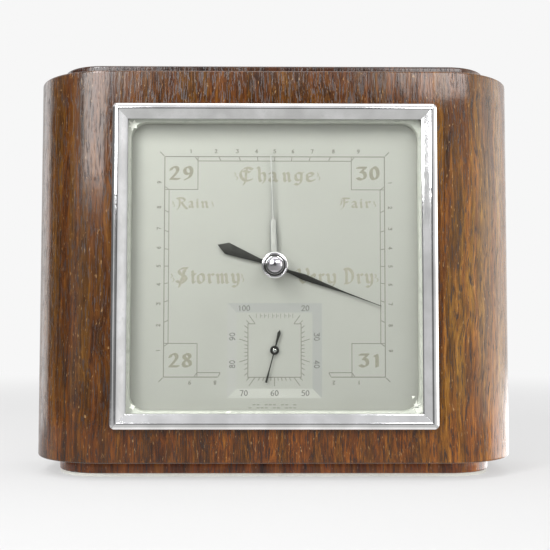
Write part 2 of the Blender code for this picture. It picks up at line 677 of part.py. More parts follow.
def make_rocking_shaft():
    """The shaft that turns the link's push into the chain's pull, and the bracket that holds it."""
    ear_front, cross, floor = SHAFT_DEPTH - 2 * MM, SHAFT_DEPTH + 6 * MM, BASE_DEPTH - GAP
    section = [
        (-14 * MM, ear_front),
        (-13 * MM, ear_front),
        (-13 * MM, cross),
        (6 * MM, cross),
        (6 * MM, ear_front),
        (7 * MM, ear_front),
        (7 * MM, cross + MM),
        (-1 * MM, cross + MM),
        (-1 * MM, floor),
        (-6 * MM, floor),
        (-6 * MM, cross + MM),
        (-14 * MM, cross + MM),
    ]
    bracket = solid_sheet("rocking_shaft_bracket", [section], 6 * MM, BRASS, place(0, 0, SHAFT_RISE), "above")
    bore = [place(-16 * MM, SHAFT_DEPTH, SHAFT_RISE), place(9 * MM, SHAFT_DEPTH, SHAFT_RISE)]
    cut(bracket, rod("bracket_bore", MM, *bore, BRASS, 16))

    ends = [place(-15.5 * MM, SHAFT_DEPTH, SHAFT_RISE), place(8.5 * MM, SHAFT_DEPTH, SHAFT_RISE)]
    shaft = rod("rocking_shaft", 0.8 * MM, *ends, STEEL, 16)
    outline = arc((SHAFT_DEPTH, SHORT_ARM), 1.6 * MM, 0, 180, 8) + arc((SHAFT_DEPTH, 0), 1.6 * MM, 180, 360, 8)
    eye = circle(0.7 * MM, (SHAFT_DEPTH, SHORT_ARM), 12)
    arm = solid_sheet("short_arm", [outline, eye], MM, STEEL, place(-6.8 * MM, 0, SHAFT_RISE), "side")
    length = SHAFT_DEPTH - CHAIN_DEPTH + 0.5 * MM
    chain_arm = block(
        "chain_arm",
        (MM, length, 1.2 * MM),
        place(-CHAIN_OFFSET, SHAFT_DEPTH - length / 2, SHAFT_RISE),
        STEEL,
    )
    join(shaft, arm, chain_arm)
    rise = SHAFT_RISE + SHORT_ARM
    pin = rod("link_pin_rear", 0.5 * MM, place(-9.2 * MM, SHAFT_DEPTH, rise), place(-5.8 * MM, SHAFT_DEPTH, rise),
              BRASS, 12)
    carry(("rocking_shaft_axis", place(0, SHAFT_DEPTH, SHAFT_RISE)), [shaft, pin])

    chain = rod("chain", 0.25 * MM, place(-CHAIN_OFFSET, CHAIN_DEPTH, -MM),
                place(-CHAIN_OFFSET, CHAIN_DEPTH, SHAFT_RISE - MM), STEEL, 8)
    carry(("chain_line", place(-CHAIN_OFFSET, CHAIN_DEPTH, 0)), [chain])


def make_pressure_hand():
    """The arbor with its collet and drum, and the hand on its front end."""
    depths = [
        (0, 4.4),
        (0.6, 4.4),
        (0.6, 12.2),
        (0.95, 12.2),
        (0.95, 13.8),
        (0.7, 13.8),
        (0.7, 14.2),
        (1.6, 14.2),
        (1.6, 14.6),
        (0.7, 14.6),
        (0.7, 16.2),
        (1.6, 16.2),
        (1.6, 16.6),
        (0.4, 16.6),
        (0.4, 18.1),
        (0, 18.1),
    ]
    profile = [(radius * MM, -depth * MM) for radius, depth in depths]
    arbor = turned("hand_arbor", profile, STEEL, place(0, 0, 0), "front", 16)
    stations = [(-24.1, 0), (-20.1, 2.4), (-6, 0.8), (-1.9, 1.6), (1.9, 1.6), (6, 0.6), (12.2, 1.25), (29.2, 0.3)]
    stations = [(along * MM, half * MM) for along, half in stations] + [(45 * MM, 0.1 * MM)]
    outline = hand_outline(stations, PRESSURE_ANGLE)
    hand = sheet("pressure_hand", [outline, circle(0.9 * MM, steps=12)], 0.4 * MM, BLUED, place(0, HAND_DEPTH, 0))
    carry(("pressure_hand_axis", place(0, 0, 0)), [arbor, hand])

    spiral_strip("hairspring", place(0, HAIRSPRING_DEPTH, 0), 1.6 * MM, 6 * MM, 4, 0.8 * MM, 0.15 * MM, STEEL, -90)
    rod("hairspring_stud", 0.5 * MM, place(0, ARBOR_BRIDGE_DEPTH + 0.8 * MM, -6.8 * MM),
        place(0, HAIRSPRING_DEPTH + 0.6 * MM, -6.8 * MM), BRASS, 10)


def make_thermometer():
    """A bimetal coil behind the dial: its outer end is held by the bracket, its inner end turns the hand."""
    drop = -THERMOMETER_DROP
    foot, back = DIAL_FRONT + DIAL_THICK + GAP, 15 * MM
    section = [
        (-17 * MM, foot),
        (-12.5 * MM, foot),
        (-12.5 * MM, back - 0.8 * MM),
        (12.5 * MM, back - 0.8 * MM),
        (12.5 * MM, foot),
        (17 * MM, foot),
        (17 * MM, foot + 0.8 * MM),
        (13.3 * MM, foot + 0.8 * MM),
        (13.3 * MM, back),
        (-13.3 * MM, back),
        (-13.3 * MM, foot + 0.8 * MM),
        (-17 * MM, foot + 0.8 * MM),
    ]
    bracket = solid_sheet("thermometer_bracket", [section], 6 * MM, BRASS, place(0, 0, drop), "above")
    bore = [place(0, back - 3 * MM, drop), place(0, back + 3 * MM, drop)]
    cut(bracket, rod("thermometer_bore", 0.6 * MM, *bore, BRASS, 12))

    spiral_strip("bimetal_coil", place(0, 11 * MM, drop), 2.0 * MM, 11.6 * MM, 5, 3 * MM, 0.4 * MM, BRASS, 0)

    depths = [(0, 4.3), (0.5, 4.3), (0.5, 9.2), (1.3, 9.2), (1.3, 12.8), (0.4, 12.8), (0.4, 15.4), (0, 15.4)]
    profile = [(radius * MM, -depth * MM) for radius, depth in depths]
    arbor = turned("thermometer_arbor", profile, STEEL, place(0, 0, drop), "front", 16)

    # A ring hub, a long pointer that thickens to its blunt end, and a short spear as its counterpoise.
    hub = circle(1.8 * MM, steps=20)
    stations = [(-8.4, 0), (-7.0, 0.65), (-1.5, 0.2), (1.5, 0.2), (8, 0.22), (13.1, 0.42)]
    stations = [(along * MM, half * MM) for along, half in stations]
    depth = 4.9 * MM
    look, at = BLUED, place(0, depth, drop)
    hand = solid_sheet("thermometer_hand", [hub], 0.5 * MM, look, at)
    blade = solid_sheet("thermometer_blade", [hand_outline(stations, THERMOMETER_ANGLE)], 0.35 * MM, look, at)
    join(hand, blade)
    cut(hand, rod("hub_bore", 0.8 * MM, place(0, depth - 2 * MM, drop), place(0, depth + 2 * MM, drop), look, 16))
    carry(("thermometer_axis", place(0, 0, drop)), [arbor, hand])


clear_scene()
parts = new_collection("mantel_barometer")
cutters = new_collection("cutters")

make_case()
make_back()
make_bezel()
make_glass_and_dial()
make_clips()
make_set_hand()
make_frame()
make_adjuster()
make_capsule()
make_lever(make_mainspring())
make_rocking_shaft()
make_pressure_hand()
make_thermometer()
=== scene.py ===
import json
import math

import bmesh
import bpy
import numpy as np
from mathutils import Matrix, Vector


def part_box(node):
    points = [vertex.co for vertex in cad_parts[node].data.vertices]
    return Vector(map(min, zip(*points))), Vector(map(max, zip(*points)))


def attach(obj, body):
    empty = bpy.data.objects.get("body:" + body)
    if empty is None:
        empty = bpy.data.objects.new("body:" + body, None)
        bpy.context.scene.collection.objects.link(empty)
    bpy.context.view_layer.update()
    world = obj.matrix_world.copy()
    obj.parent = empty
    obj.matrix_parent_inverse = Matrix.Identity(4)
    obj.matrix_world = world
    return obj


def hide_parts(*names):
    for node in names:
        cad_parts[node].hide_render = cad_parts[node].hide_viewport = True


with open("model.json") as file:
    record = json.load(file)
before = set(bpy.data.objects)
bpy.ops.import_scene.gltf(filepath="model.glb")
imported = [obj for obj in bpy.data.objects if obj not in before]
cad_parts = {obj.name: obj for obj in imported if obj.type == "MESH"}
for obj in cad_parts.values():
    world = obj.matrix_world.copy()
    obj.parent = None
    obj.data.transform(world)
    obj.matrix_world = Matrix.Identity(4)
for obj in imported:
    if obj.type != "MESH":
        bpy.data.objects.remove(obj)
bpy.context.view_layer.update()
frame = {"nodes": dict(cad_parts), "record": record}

mm = 0.001
shellLow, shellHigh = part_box("case_shell")
bezelLow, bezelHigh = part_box("bezel")
frontY = shellLow.y  # the plane of the case front
dialX = (bezelLow.x + bezelHigh.x) / 2
dialZ = (bezelLow.z + bezelHigh.z) / 2


def spot(right, depth, up):  # millimetres from the dial's centre, depth behind the case front
    return Vector((dialX + right * mm, frontY + depth * mm, dialZ + up * mm))


class Wire:  # one socket of a node tree, with the usual operators
    def __init__(self, tree, socket=None):
        self.tree = tree
        self.socket = socket

    def node(self, kind, settings=None, sockets=None, output=0):
        made = self.tree.nodes.new("ShaderNode" + kind)
        for key, value in (settings or {}).items():
            if key == "stops":
                ramp = made.color_ramp
                while len(ramp.elements) < len(value):
                    ramp.elements.new(1.0)
                for element, (position, colour) in zip(ramp.elements, value):
                    element.position = position
                    element.color = (*colour, 1.0) if len(colour) == 3 else colour
            else:
                setattr(made, key, value)
        for key, value in (sockets or {}).items():
            if isinstance(value, Wire):
                self.tree.links.new(value.socket, made.inputs[key])
            else:
                made.inputs[key].default_value = value
        return Wire(self.tree, made.outputs[output])

    def maths(self, operation, first, second=0.0):
        return self.node("Math", {"operation": operation}, {0: first, 1: second})

    def __add__(self, other):
        return self.maths("ADD", self, other)

    __radd__ = __add__

    def __sub__(self, other):
        return self.maths("SUBTRACT", self, other)

    def __rsub__(self, other):
        return self.maths("SUBTRACT", other, self)

    def __mul__(self, other):
        return self.maths("MULTIPLY", self, other)

    __rmul__ = __mul__

    def __truediv__(self, other):
        return self.maths("DIVIDE", self, other)

    def __pow__(self, other):
        return self.maths("POWER", self, other)

    def __abs__(self):
        return self.maths("ABSOLUTE", self)

    def clip(self):
        return self.node("Clamp", None, {"Value": self})

    def between(self, low, high):  # 0 at low, 1 at high, with soft ends
        return self.node("MapRange", {"interpolation_type": "SMOOTHSTEP"},
                         {"Value": self, "From Min": low, "From Max": high})

    def mix(self, first, second):  # self is the factor, first and second are colours
        return self.node("Mix", {"data_type": "RGBA"}, {0: self, 6: first, 7: second}, 2)

    def tinted(self, tint, share=1.0):  # self is a colour, multiplied by the tint
        return self.node("Mix", {"data_type": "RGBA", "blend_type": "MULTIPLY"},
                         {0: share, 6: self, 7: tint}, 2)

    def ramp(self, *stops):  # stops of (position, colour or level of grey)
        colours = [(at, hue if isinstance(hue, tuple) else (hue, hue, hue)) for at, hue in stops]
        return self.node("ValToRGB", {"stops": colours}, {0: self})

    def axes(self):
        parts = self.node("SeparateXYZ", None, {0: self})
        return [Wire(self.tree, socket) for socket in parts.socket.node.outputs]

    def scaled(self, x, y=None, z=None):  # a position stretched along each axis, or by one number
        stretch = (x, x if y is None else y, x if z is None else z)
        return self.node("VectorMath", {"operation": "MULTIPLY"}, {0: self, 1: stretch})

    def noise(self, scale=1.0, detail=3.0, rough=0.55, bend=0.0):
        return self.node("TexNoise", None, {"Vector": self, "Scale": scale, "Detail": detail,
                                            "Roughness": rough, "Distortion": bend})


def tone(red, green=None, blue=None):  # a colour, or a grey from one number
    return (red, red if green is None else green, red if blue is None else blue, 1.0)


def newMaterial(name):
    material = bpy.data.materials.new(name)
    material.use_nodes = True
    material.node_tree.nodes.clear()
    place = Wire(material.node_tree).node("TexCoord", None, None, 3).scaled(1000)  # millimetres
    return material, place


def finishMaterial(material, shader):
    output = material.node_tree.nodes.new("ShaderNodeOutputMaterial")
    material.node_tree.links.new(shader.socket, output.inputs["Surface"])
    return material


def principled(material, sockets):
    return finishMaterial(material, Wire(material.node_tree).node("BsdfPrincipled", None, sockets))


def bumped(height, strength, distance):
    return height.node("Bump", None, {"Height": height, "Strength": strength, "Distance": distance})


oakSet = {
    "stops": [  # position in the grain and colour: dark, brown, orange, golden
        (0.05, (0.026, 0.0115, 0.0055)), (0.36, (0.074, 0.030, 0.0075)),
        (0.62, (0.152, 0.064, 0.0115)), (0.97, (0.262, 0.130, 0.026)),
    ],
    "contrast": 3.5,
    "shade": tone(0.50, 0.425, 0.32),  # tint of the darker left side, partly painted shade
    "sun": tone(0.86, 0.81, 0.74),  # tint of the paler right side, partly painted light
    # the right end is paler: partly bleached veneer and partly painted light
    "rightEndBleachAndLight": tone(1.42, 1.48, 1.6),
    # the top strip is darker: partly the veneer's own tone and partly painted shade
    "topStripToneAndShade": tone(0.74, 0.68, 0.60),
    "foot": tone(1.16, 0.97, 0.66),
    "pore": tone(0.014, 0.0068, 0.0058),
    "ray": tone(0.40, 0.25, 0.11),
    "gloss": 0.10,
    "coat": 0.25,
    "coatRoughness": 0.08,
}

stainSet = {"oak_board": 0.62, "dark_oak": 1.5, "cap_oak": 0.42}  # brightness beside the veneer's, which is 1


def oakMaterial(name, stain=1.0, plain=False):
    material, place = newMaterial(name)
    across, back, up = place.axes()
    # the grain wanders a little to the side as it climbs
    wander = place.scaled(0.03, 0.03, 0.021).noise(1.0, 2.0) - 0.5
    wobble = place.scaled(0.16, 0.16, 0.09).noise(1.0, 3.0) - 0.5
    shifted = place.node("CombineXYZ", None, {0: across + wander * 5.0 + wobble * 1.1,
                                              1: back + wander * 7.0, 2: up})
    bands = shifted.scaled(0.13, 0.13, 0.009).noise(1.0, 3.0, 0.6)
    streaks = shifted.scaled(0.70, 0.70, 0.036).noise(1.0, 5.0, 0.64, 0.3)
    fine = shifted.scaled(2.3, 2.3, 0.11).noise(1.0, 3.0, 0.6)
    flecks = shifted.scaled(1.25, 1.25, 0.17).noise(1.0, 3.0, 0.65, 0.4)
    if plain:
        grain = bands * 0.5 + streaks * 0.3 + fine * 0.2
    else:
        # the strips over and under the bezel have a shorter, livelier figure
        middle = 1.0 - abs(across).between(50.0, 64.0)
        longGrain = bands * 0.26 + streaks * 0.42 + fine * 0.20 + flecks * 0.12
        shortGrain = bands * 0.14 + streaks * 0.20 + flecks * 0.38 + fine * 0.28
        grain = longGrain * (1.0 - middle) + (shortGrain - 0.02) * middle
    grain = (grain - 0.5) * oakSet["contrast"] + 0.5
    colour = grain.ramp(*oakSet["stops"])
    # its left side and top strip are darker and its right end paler, partly the veneer's own tone and partly
    # painted shade and light; columns of it are redder or more olive
    sunny = (across * 0.0060 + 0.5 + (bands - 0.5) * 0.7).clip()
    light = sunny.mix(oakSet["shade"], oakSet["sun"])
    light = across.between(60.0, 92.0).mix(light, oakSet["rightEndBleachAndLight"])
    colour = colour.tinted(light).tinted(oakSet["topStripToneAndShade"], up.between(118.0, 152.0))
    colour = colour.tinted(oakSet["foot"], 1.0 - up.between(14.0, 40.0))  # a warmer red
    hue = shifted.scaled(0.30, 0.30, 0.016).noise(1.0, 2.0, 0.5).between(0.36, 0.64)
    colour = colour.tinted(hue.mix(tone(1.06, 0.95, 1.03), tone(0.95, 1.04, 0.92)))
    # open pores: dark, narrow dashes along the grain
    pores = shifted.scaled(2.2, 2.2, 0.15).noise(1.0, 2.0, 0.55)
    poreMask = 1.0 - pores.between(0.37, 0.44)
    colour = (poreMask * 0.88).mix(colour, oakSet["pore"])
    # silver grain: short pale flecks
    rays = shifted.scaled(1.9, 1.9, 0.42).noise(1.0, 2.0, 0.5)
    colour = (rays.between(0.66, 0.73) * 0.4).mix(colour, oakSet["ray"])
    if stain != 1.0:
        colour = colour.tinted(tone(stain, stain * 0.86, stain * 1.25))
    haze = shifted.scaled(0.5, 0.5, 0.03).noise(1.0, 4.0)
    ripple = shifted.scaled(0.55, 0.55, 0.05).noise(1.0, 3.0, 0.55)  # the varnish follows the grain
    swell = place.scaled(0.1).noise(1.0, 2.0)
    height = ripple * 4.5 + fine * 0.5 - poreMask + swell * 5.0
    return principled(material, {
        "Base Color": colour,
        "Roughness": oakSet["gloss"] + 0.10 * haze + poreMask * 0.3,
        "IOR": 1.5,
        "Coat Weight": (haze - 0.35) * oakSet["coat"] * 2.0,
        "Coat Roughness": oakSet["coatRoughness"],
        "Normal": bumped(height, 0.35, 0.00005),
    })


def plywoodMaterial():
    material, place = newMaterial("plywood")
    streaks = place.scaled(0.02, 0.2, 0.55).noise(1.0, 5.0, 0.6, 0.3)
    fine = place.scaled(0.12, 0.5, 2.6).noise(1.0, 3.0)
    grain = (streaks * 0.6 + fine * 0.4 - 0.5) * 2.2 + 0.5
    colour = grain.ramp((0.1, (0.10, 0.052, 0.024)), (0.5, (0.20, 0.115, 0.055)), (0.9, (0.31, 0.20, 0.105)))
    dirt = place.scaled(0.035).noise(1.0, 5.0, 0.65)
    colour = (dirt.between(0.5, 0.78) * 0.5).mix(colour, tone(0.06, 0.036, 0.02))
    return principled(material, {
        "Base Color": colour,
        "Roughness": 0.52 + 0.25 * dirt,
        "Normal": bumped(fine, 0.35, 0.0001),
    })


def baizeMaterial():
    material, place = newMaterial("baize")
    fluff = place.noise(1.6, 6.0, 0.75)
    worn = place.scaled(0.06).noise(1.0, 3.0)
    colour = fluff.ramp((0.25, (0.60, 0.60, 0.55)), (0.75, (0.80, 0.80, 0.75)))
    colour = (worn * 0.35).mix(colour, tone(0.62, 0.62, 0.55))
    return principled(material, {
        "Base Color": colour,
        "Roughness": 0.85 + 0.12 * fluff,
        "Sheen Weight": 0.5,
        "Sheen Roughness": 0.5,
        "Normal": bumped(fluff, 0.8, 0.0003),
    })


metalSet = {  # pale and dark tone, lowest and highest roughness, stretch of the finish along x, y, z, bump
    "chrome": ((0.93, 0.93, 0.94), (0.80, 0.80, 0.80), 0.045, 0.13, (0.5, 0.5, 0.5), 0.20),
    "nickel": ((0.60, 0.595, 0.57), (0.44, 0.43, 0.41), 0.24, 0.38, (0.8, 0.8, 0.8), 0.15),
    "brass": ((0.62, 0.44, 0.17), (0.36, 0.23, 0.08), 0.22, 0.42, (0.5, 0.5, 0.5), 0.15),
    "spring_steel": ((0.46, 0.47, 0.49), (0.27, 0.27, 0.28), 0.22, 0.40, (0.4, 0.4, 2.0), 0.15),
    "black_steel": ((0.075, 0.075, 0.07), (0.045, 0.045, 0.042), 0.36, 0.50, (1.2, 1.2, 1.2), 0.15),
    "knob_nickel": ((0.60, 0.58, 0.62), (0.45, 0.44, 0.46), 0.09, 0.16, (0.8, 0.8, 0.8), 0.12),
    "pale_nickel": ((0.56, 0.56, 0.54), (0.47, 0.47, 0.45), 0.46, 0.58, (0.8, 0.8, 0.8), 0.12),
}


def metalMaterial(name):
    pale, dark, low, high, stretch, relief = metalSet[name]
    material, place = newMaterial(name)
    cloud = place.scaled(*stretch).noise(0.35, 5.0, 0.6)
    scratches = place.scaled(stretch[0] * 0.6, stretch[1] * 0.6, stretch[2] * 5.0).noise(1.4, 4.0, 0.7)
    spots = 1.0 - place.noise(0.9, 3.0, 0.6).between(0.30, 0.40)
    mark = (cloud.between(0.35, 0.75) * 0.6 + spots * 0.5).clip()
    film = place.scaled(0.07).noise(1.0, 2.0, 0.5).between(0.30, 0.70)  # an uneven, dulling film
    plate = film.mix(mark.mix(tone(*pale), tone(*dark)), tone(*(c * 0.90 for c in dark)))
    return principled(material, {
        "Base Color": plate,
        "Metallic": 1.0,
        "Roughness": low + (high - low) * (cloud * 0.6 + scratches * 0.4),
        "Normal": bumped(place.noise(0.22, 2.0) * 4.0 + scratches * 0.25, relief, 0.00005),
    })


silverSet = {  # pale and dull tone of the silvering, and how metallic it is
    "silvered_dial": ((0.405, 0.408, 0.38), (0.365, 0.367, 0.34), 0.42),
    # the three band copies below carry the painted sheen of the brushed band round the thermometer
    "band_sheen_dim": ((0.35, 0.356, 0.345), (0.33, 0.335, 0.325), 0.40),
    "band_sheen_soft": ((0.402, 0.402, 0.387), (0.366, 0.366, 0.35), 0.36),
    "band_sheen_bright": ((0.452, 0.452, 0.425), (0.42, 0.42, 0.393), 0.24),
}


def silveredMaterial(name):
    pale, dull, metallic = silverSet[name]
    material, place = newMaterial(name)
    cloud = place.scaled(0.03).noise(1.0, 4.0, 0.6)
    brushed = place.scaled(0.5, 1.0, 7.0).noise(1.0, 4.0, 0.6)
    speck = place.noise(0.55, 2.0, 0.5).between(0.77, 0.80)
    colour = cloud.mix(tone(*pale), tone(*dull))
    colour = (brushed * 0.12).mix(colour, tone(0.26, 0.26, 0.24))
    colour = (speck * 0.35).mix(colour, tone(0.16, 0.155, 0.135))
    return principled(material, {
        "Base Color": colour,
        "Metallic": metallic + 0.08 * cloud,
        "Roughness": 0.44 + 0.12 * brushed,
        "Normal": bumped(brushed, 0.06, 0.00003),
    })


inkSet = {
    "scale_ink": (0.165, 0.162, 0.14),
    "number_ink": (0.13, 0.132, 0.122),
    "word_ink": (0.255, 0.247, 0.20),
    "numeral_ink": (0.215, 0.208, 0.166),
    "flake_and_glint_paint": (0.80, 0.80, 0.75),  # the pale flecks on the slip frame: bare chips in its paint, and painted glints
}


def inkMaterial(name):
    ink = inkSet[name]
    material, place = newMaterial(name)
    worn = place.noise(1.1, 4.0, 0.7)
    colour = worn.between(0.35, 0.75).mix(tone(*ink), tone(*(c * 1.22 for c in ink)))
    return principled(material, {
        "Base Color": colour,
        "Metallic": 0.15,
        "Roughness": 0.5 + 0.15 * worn,
    })


def enamelMaterial():
    material, place = newMaterial("cream_enamel")
    grime = place.noise(0.35, 5.0, 0.65)
    colour = grime.between(0.45, 0.8).mix(tone(0.50, 0.51, 0.465), tone(0.37, 0.38, 0.34))
    return principled(material, {
        "Base Color": colour,
        "Roughness": 0.38 + 0.25 * grime,
        "Normal": bumped(grime, 0.2, 0.0001),
    })


def glassMaterial():
    material, place = newMaterial("glass")
    smear = place.scaled(0.03).noise(1.0, 4.0, 0.6)
    clear = place.node("BsdfTransparent", None, {"Color": tone(0.985, 0.992, 0.981)})
    gloss = place.node("BsdfGlossy", None, {"Color": tone(1), "Roughness": 0.03})
    edgeOn = place.node("LayerWeight", None, {"Blend": 0.5}, 1)
    mirror = (edgeOn ** 5.0 * 0.96 + 0.04) * (0.85 + 0.3 * smear)  # the same from either side
    return finishMaterial(material, place.node("MixShader", None, {0: mirror, 1: clear, 2: gloss}))


finishes = {
    "oak_veneer": oakMaterial("oak_veneer"),
    "plywood": plywoodMaterial(),
    "baize": baizeMaterial(),
    "cream_enamel": enamelMaterial(),
    "glass": glassMaterial(),
}
for oak, stain in stainSet.items():
    finishes[oak] = oakMaterial(oak, stain, True)
for ink in inkSet:
    finishes[ink] = inkMaterial(ink)
for silver in silverSet:
    finishes[silver] = silveredMaterial(silver)
for metal in metalSet:
    finishes[metal] = metalMaterial(metal)
print("materials made:", len(finishes))


def addPiece(name, mesh, finish, body="case", stands=(), sharp=32):
    mesh.shade_smooth()
    mesh.set_sharp_from_angle(angle=math.radians(sharp))
    piece = bpy.data.objects.new(name, mesh)
    bpy.context.scene.collection.objects.link(piece)
    mesh.materials.clear()
    mesh.materials.append(finishes[finish])
    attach(piece, body)
    if stands:
        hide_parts(*stands)
    return piece


def meshOf(name, points, faces, weld=1e-7):
    shape = bmesh.new()
    corners = [shape.verts.new(p) for p in points]
    for face in faces:
        shape.faces.new([corners[i] for i in face])
    bmesh.ops.remove_doubles(shape, verts=shape.verts, dist=weld)
    bmesh.ops.recalc_face_normals(shape, faces=shape.faces)
    mesh = bpy.data.meshes.new(name)
    shape.to_mesh(mesh)
    shape.free()
    return mesh


def skin(rows, wrapRows=False, wrapColumns=True, capEnds=False):  # quads over rows of points
    count = len(rows[0])
    points = [p for row in rows for p in row]
    faces = []
    for r in range(len(rows) if wrapRows else len(rows) - 1):
        for c in range(count if wrapColumns else count - 1):
            a, b = r * count, (r + 1) % len(rows) * count
            n = (c + 1) % count
            faces.append((a + c, a + n, b + n, b + c))
    if capEnds:
        faces.append(tuple(range(count)))
        faces.append(tuple((len(rows) - 1) * count + c for c in range(count)))
    return points, faces


def turned(name, profile, centre=(0, 0), steps=64, closed=False):  # profile of (radius, depth)
    right, up = centre
    turns = [2 * math.pi * i / steps for i in range(steps)]
    rows = [[spot(right + radius * math.cos(a), depth, up + radius * math.sin(a)) for a in turns]
            for radius, depth in profile]
    return meshOf(name, *skin(rows, wrapRows=closed))


def arcPoints(centre, radius, start, end, steps):
    turns = [math.radians(start + (end - start) * i / steps) for i in range(steps + 1)]
    return [(centre[0] + radius * math.cos(a), centre[1] + radius * math.sin(a)) for a in turns]


def roundedSquare(half, radius, steps=14):
    core = half - radius
    corners = [(core, core), (-core, core), (-core, -core), (core, -core)]
    return [point for i, corner in enumerate(corners)
            for point in arcPoints(corner, radius, 90 * i, 90 * i + 90, steps)]


def pressed(name, loops, thickness, depth, bevel=0.0):  # a flat piece seen from the front
    curve = bpy.data.curves.new(name, "CURVE")
    curve.dimensions = "2D"
    curve.fill_mode = "BOTH"
    curve.extrude = max(thickness / 2 - bevel, 0.0001)
    curve.bevel_depth = bevel
    curve.bevel_resolution = 2
    curve.offset = -bevel
    for loop in loops:
        spline = curve.splines.new("POLY")
        spline.points.add(len(loop) - 1)
        spline.use_cyclic_u = True
        for point, (x, y) in zip(spline.points, loop):
            point.co = (x, y, 0, 1)
    holder = bpy.data.objects.new(name, curve)
    bpy.context.scene.collection.objects.link(holder)
    bpy.context.view_layer.update()
    graph = bpy.context.evaluated_depsgraph_get()
    mesh = bpy.data.meshes.new_from_object(holder.evaluated_get(graph))
    bpy.data.objects.remove(holder, do_unlink=True)
    bpy.data.curves.remove(curve)
    upright = Matrix.Rotation(math.pi / 2, 4, "X")
    mesh.transform(Matrix.Translation(spot(0, depth, 0)) @ upright @ Matrix.Scale(mm, 4))
    shape = bmesh.new()
    shape.from_mesh(mesh)
    bmesh.ops.remove_doubles(shape, verts=shape.verts, dist=1e-8)
    shape.to_mesh(mesh)
    shape.free()
    mesh.name = name
    return mesh


caseSet = {
    "half": (shellHigh.x - shellLow.x) / 2 / mm,
    "back": (shellHigh.y - shellLow.y) / mm,
    "radius": 32.0,
    "wall": 5.0,
    "opening": 59.5,
    "edge": 0.8,  # how far the top and bottom edges are rounded
    "cornerSteps": 40,
    "end": 12.0,  # straight run behind each rounded corner before the next row of points
    "boardGap": 5.04,  # from the outside of the shell to the boards inside it
}


def planPoints(half, front, back, radius):  # an outline from above, as (right, depth)
    left = arcPoints((-half + radius, front + radius), radius, 180, 270, 24)
    right = arcPoints((half - radius, front + radius), radius, 270, 360, 24)
    return [(-half, back), *left, *right, (half, back)]


def slab(name, levels, half, front, back, radius):  # levels of (inset, height in metres)
    rows = []
    for inset, height in levels:
        plan = planPoints(half - inset, front + inset, back - inset * 0.3, radius - inset)
        rows.append([Vector((dialX + x * mm, frontY + y * mm, height)) for x, y in plan])
    return meshOf(name, *skin(rows, capEnds=True))


def roundedLevels(low, high, under, over, steps=4):  # under and over are the radii of the two edges
    turns = [math.pi / 2 * i / steps for i in range(steps + 1)]
    bottom = [(under * (1 - math.sin(a)), low + under * (1 - math.cos(a)) * mm) for a in turns]
    return bottom + [(over * (1 - math.cos(a)), high - over * (1 - math.sin(a)) * mm) for a in turns]


def makeShell():
    s = caseSet
    half, back, radius = s["half"], s["back"], s["radius"]

    def cornerPath(side, start):  # one rounded corner, as points and the way out from each
        middle = side * (half - radius)
        ways = arcPoints((0, 0), 1.0, start, start + 90, s["cornerSteps"])
        return [((middle + radius * x, radius + radius * y), (x, y)) for x, y in ways]

    def row(height, inset):  # the path at one height, moved inwards
        return [Vector((dialX + (x - outX * inset) * mm, frontY + (y - outY * inset) * mm, height))
                for (x, y), (outX, outY) in path]

    path = [((-half, back), (-1, 0)), ((-half, radius + s["end"]), (-1, 0)), *cornerPath(-1, 180)]
    left, right = len(path), len(path) + 1  # the sides of the opening
    path += [((-s["opening"], 0), (0, -1)), ((s["opening"], 0), (0, -1)), *cornerPath(1, 270)]
    path += [((half, radius + s["end"]), (1, 0)), ((half, back), (1, 0))]
    rounded = roundedLevels(shellLow.z, shellHigh.z, s["edge"], s["edge"])
    sill = len(rounded) // 2  # the row of points at the foot of the opening
    sills = [(0.0, dialZ - s["opening"] * mm), (0.0, dialZ + s["opening"] * mm)]
    levels = rounded[:sill] + sills + rounded[sill:]
    count = len(path)
    points = [point for inset, height in levels for point in row(height, inset)]
    inner = len(points)
    points += [point for _, height in levels for point in row(height, s["wall"])]
    faces = []
    for r in range(len(levels) - 1):
        for c in range(count - 1):
            if r == sill and c == left:
                continue
            a = r * count + c
            quad = (a, a + 1, a + count + 1, a + count)
            faces += [quad, tuple(inner + i for i in reversed(quad))]
    for c in range(count - 1):  # the bottom and top rims
        top = (len(levels) - 1) * count + c
        faces += [(c, c + 1, inner + c + 1, inner + c), (top, top + 1, inner + top + 1, inner + top)]
    for r in range(len(levels) - 1):  # the two back edges
        for c in (0, count - 1):
            a, b = r * count + c, (r + 1) * count + c
            faces.append((a, b, inner + b, inner + a))
    low, high = sill * count, (sill + 1) * count
    for a, b in ((low + left, low + right), (high + left, high + right), (low + left, high + left),
                 (low + right, high + right)):
        faces.append((a, b, inner + b, inner + a))
    return meshOf("case_shell_veneered", points, faces)


addPiece("case_shell_veneered", makeShell(), "oak_veneer", stands=["case_shell"],
         sharp=40)
for board in ("top", "bottom"):
    node = f"case_{board}_board"
    low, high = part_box(node)
    gap = caseSet["boardGap"]
    mesh = slab(f"{board}_board", [(0, low.z), (0, high.z)], caseSet["half"] - gap, gap,
                (high.y - frontY) / mm, caseSet["radius"] - gap)
    addPiece(f"{board}_board", mesh, "oak_board", stands=[node])

stepSet = {  # node: inset from the case, corner radius, rounding of the bottom and top edges, finish
    "top_cap": (10.0, 18.0, 0.35, 0.9, "cap_oak"),
    "plinth": (9.3, 20.0, 0.5, 0.6, "dark_oak"),
}
for node, (inset, radius, under, over, finish) in stepSet.items():
    low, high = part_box(node)
    levels = roundedLevels(low.z, high.z, under, over)
    mesh = slab(node + "_moulding", levels, caseSet["half"] - inset, inset, caseSet["back"], radius)
    addPiece(node + "_moulding", mesh, finish, stands=[node])

padSet = {"inset": 10.0, "radius": 18.0, "thickness": 1.25}
padBack = (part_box("base_baize")[1].y - frontY) / mm
mesh = slab("baize_pad", [(0, 0.0), (0, padSet["thickness"] * mm)], caseSet["half"] - padSet["inset"],
            padSet["inset"], padBack, padSet["radius"])
addPiece("baize_pad", mesh, "baize", stands=["base_baize"])
print("case made")

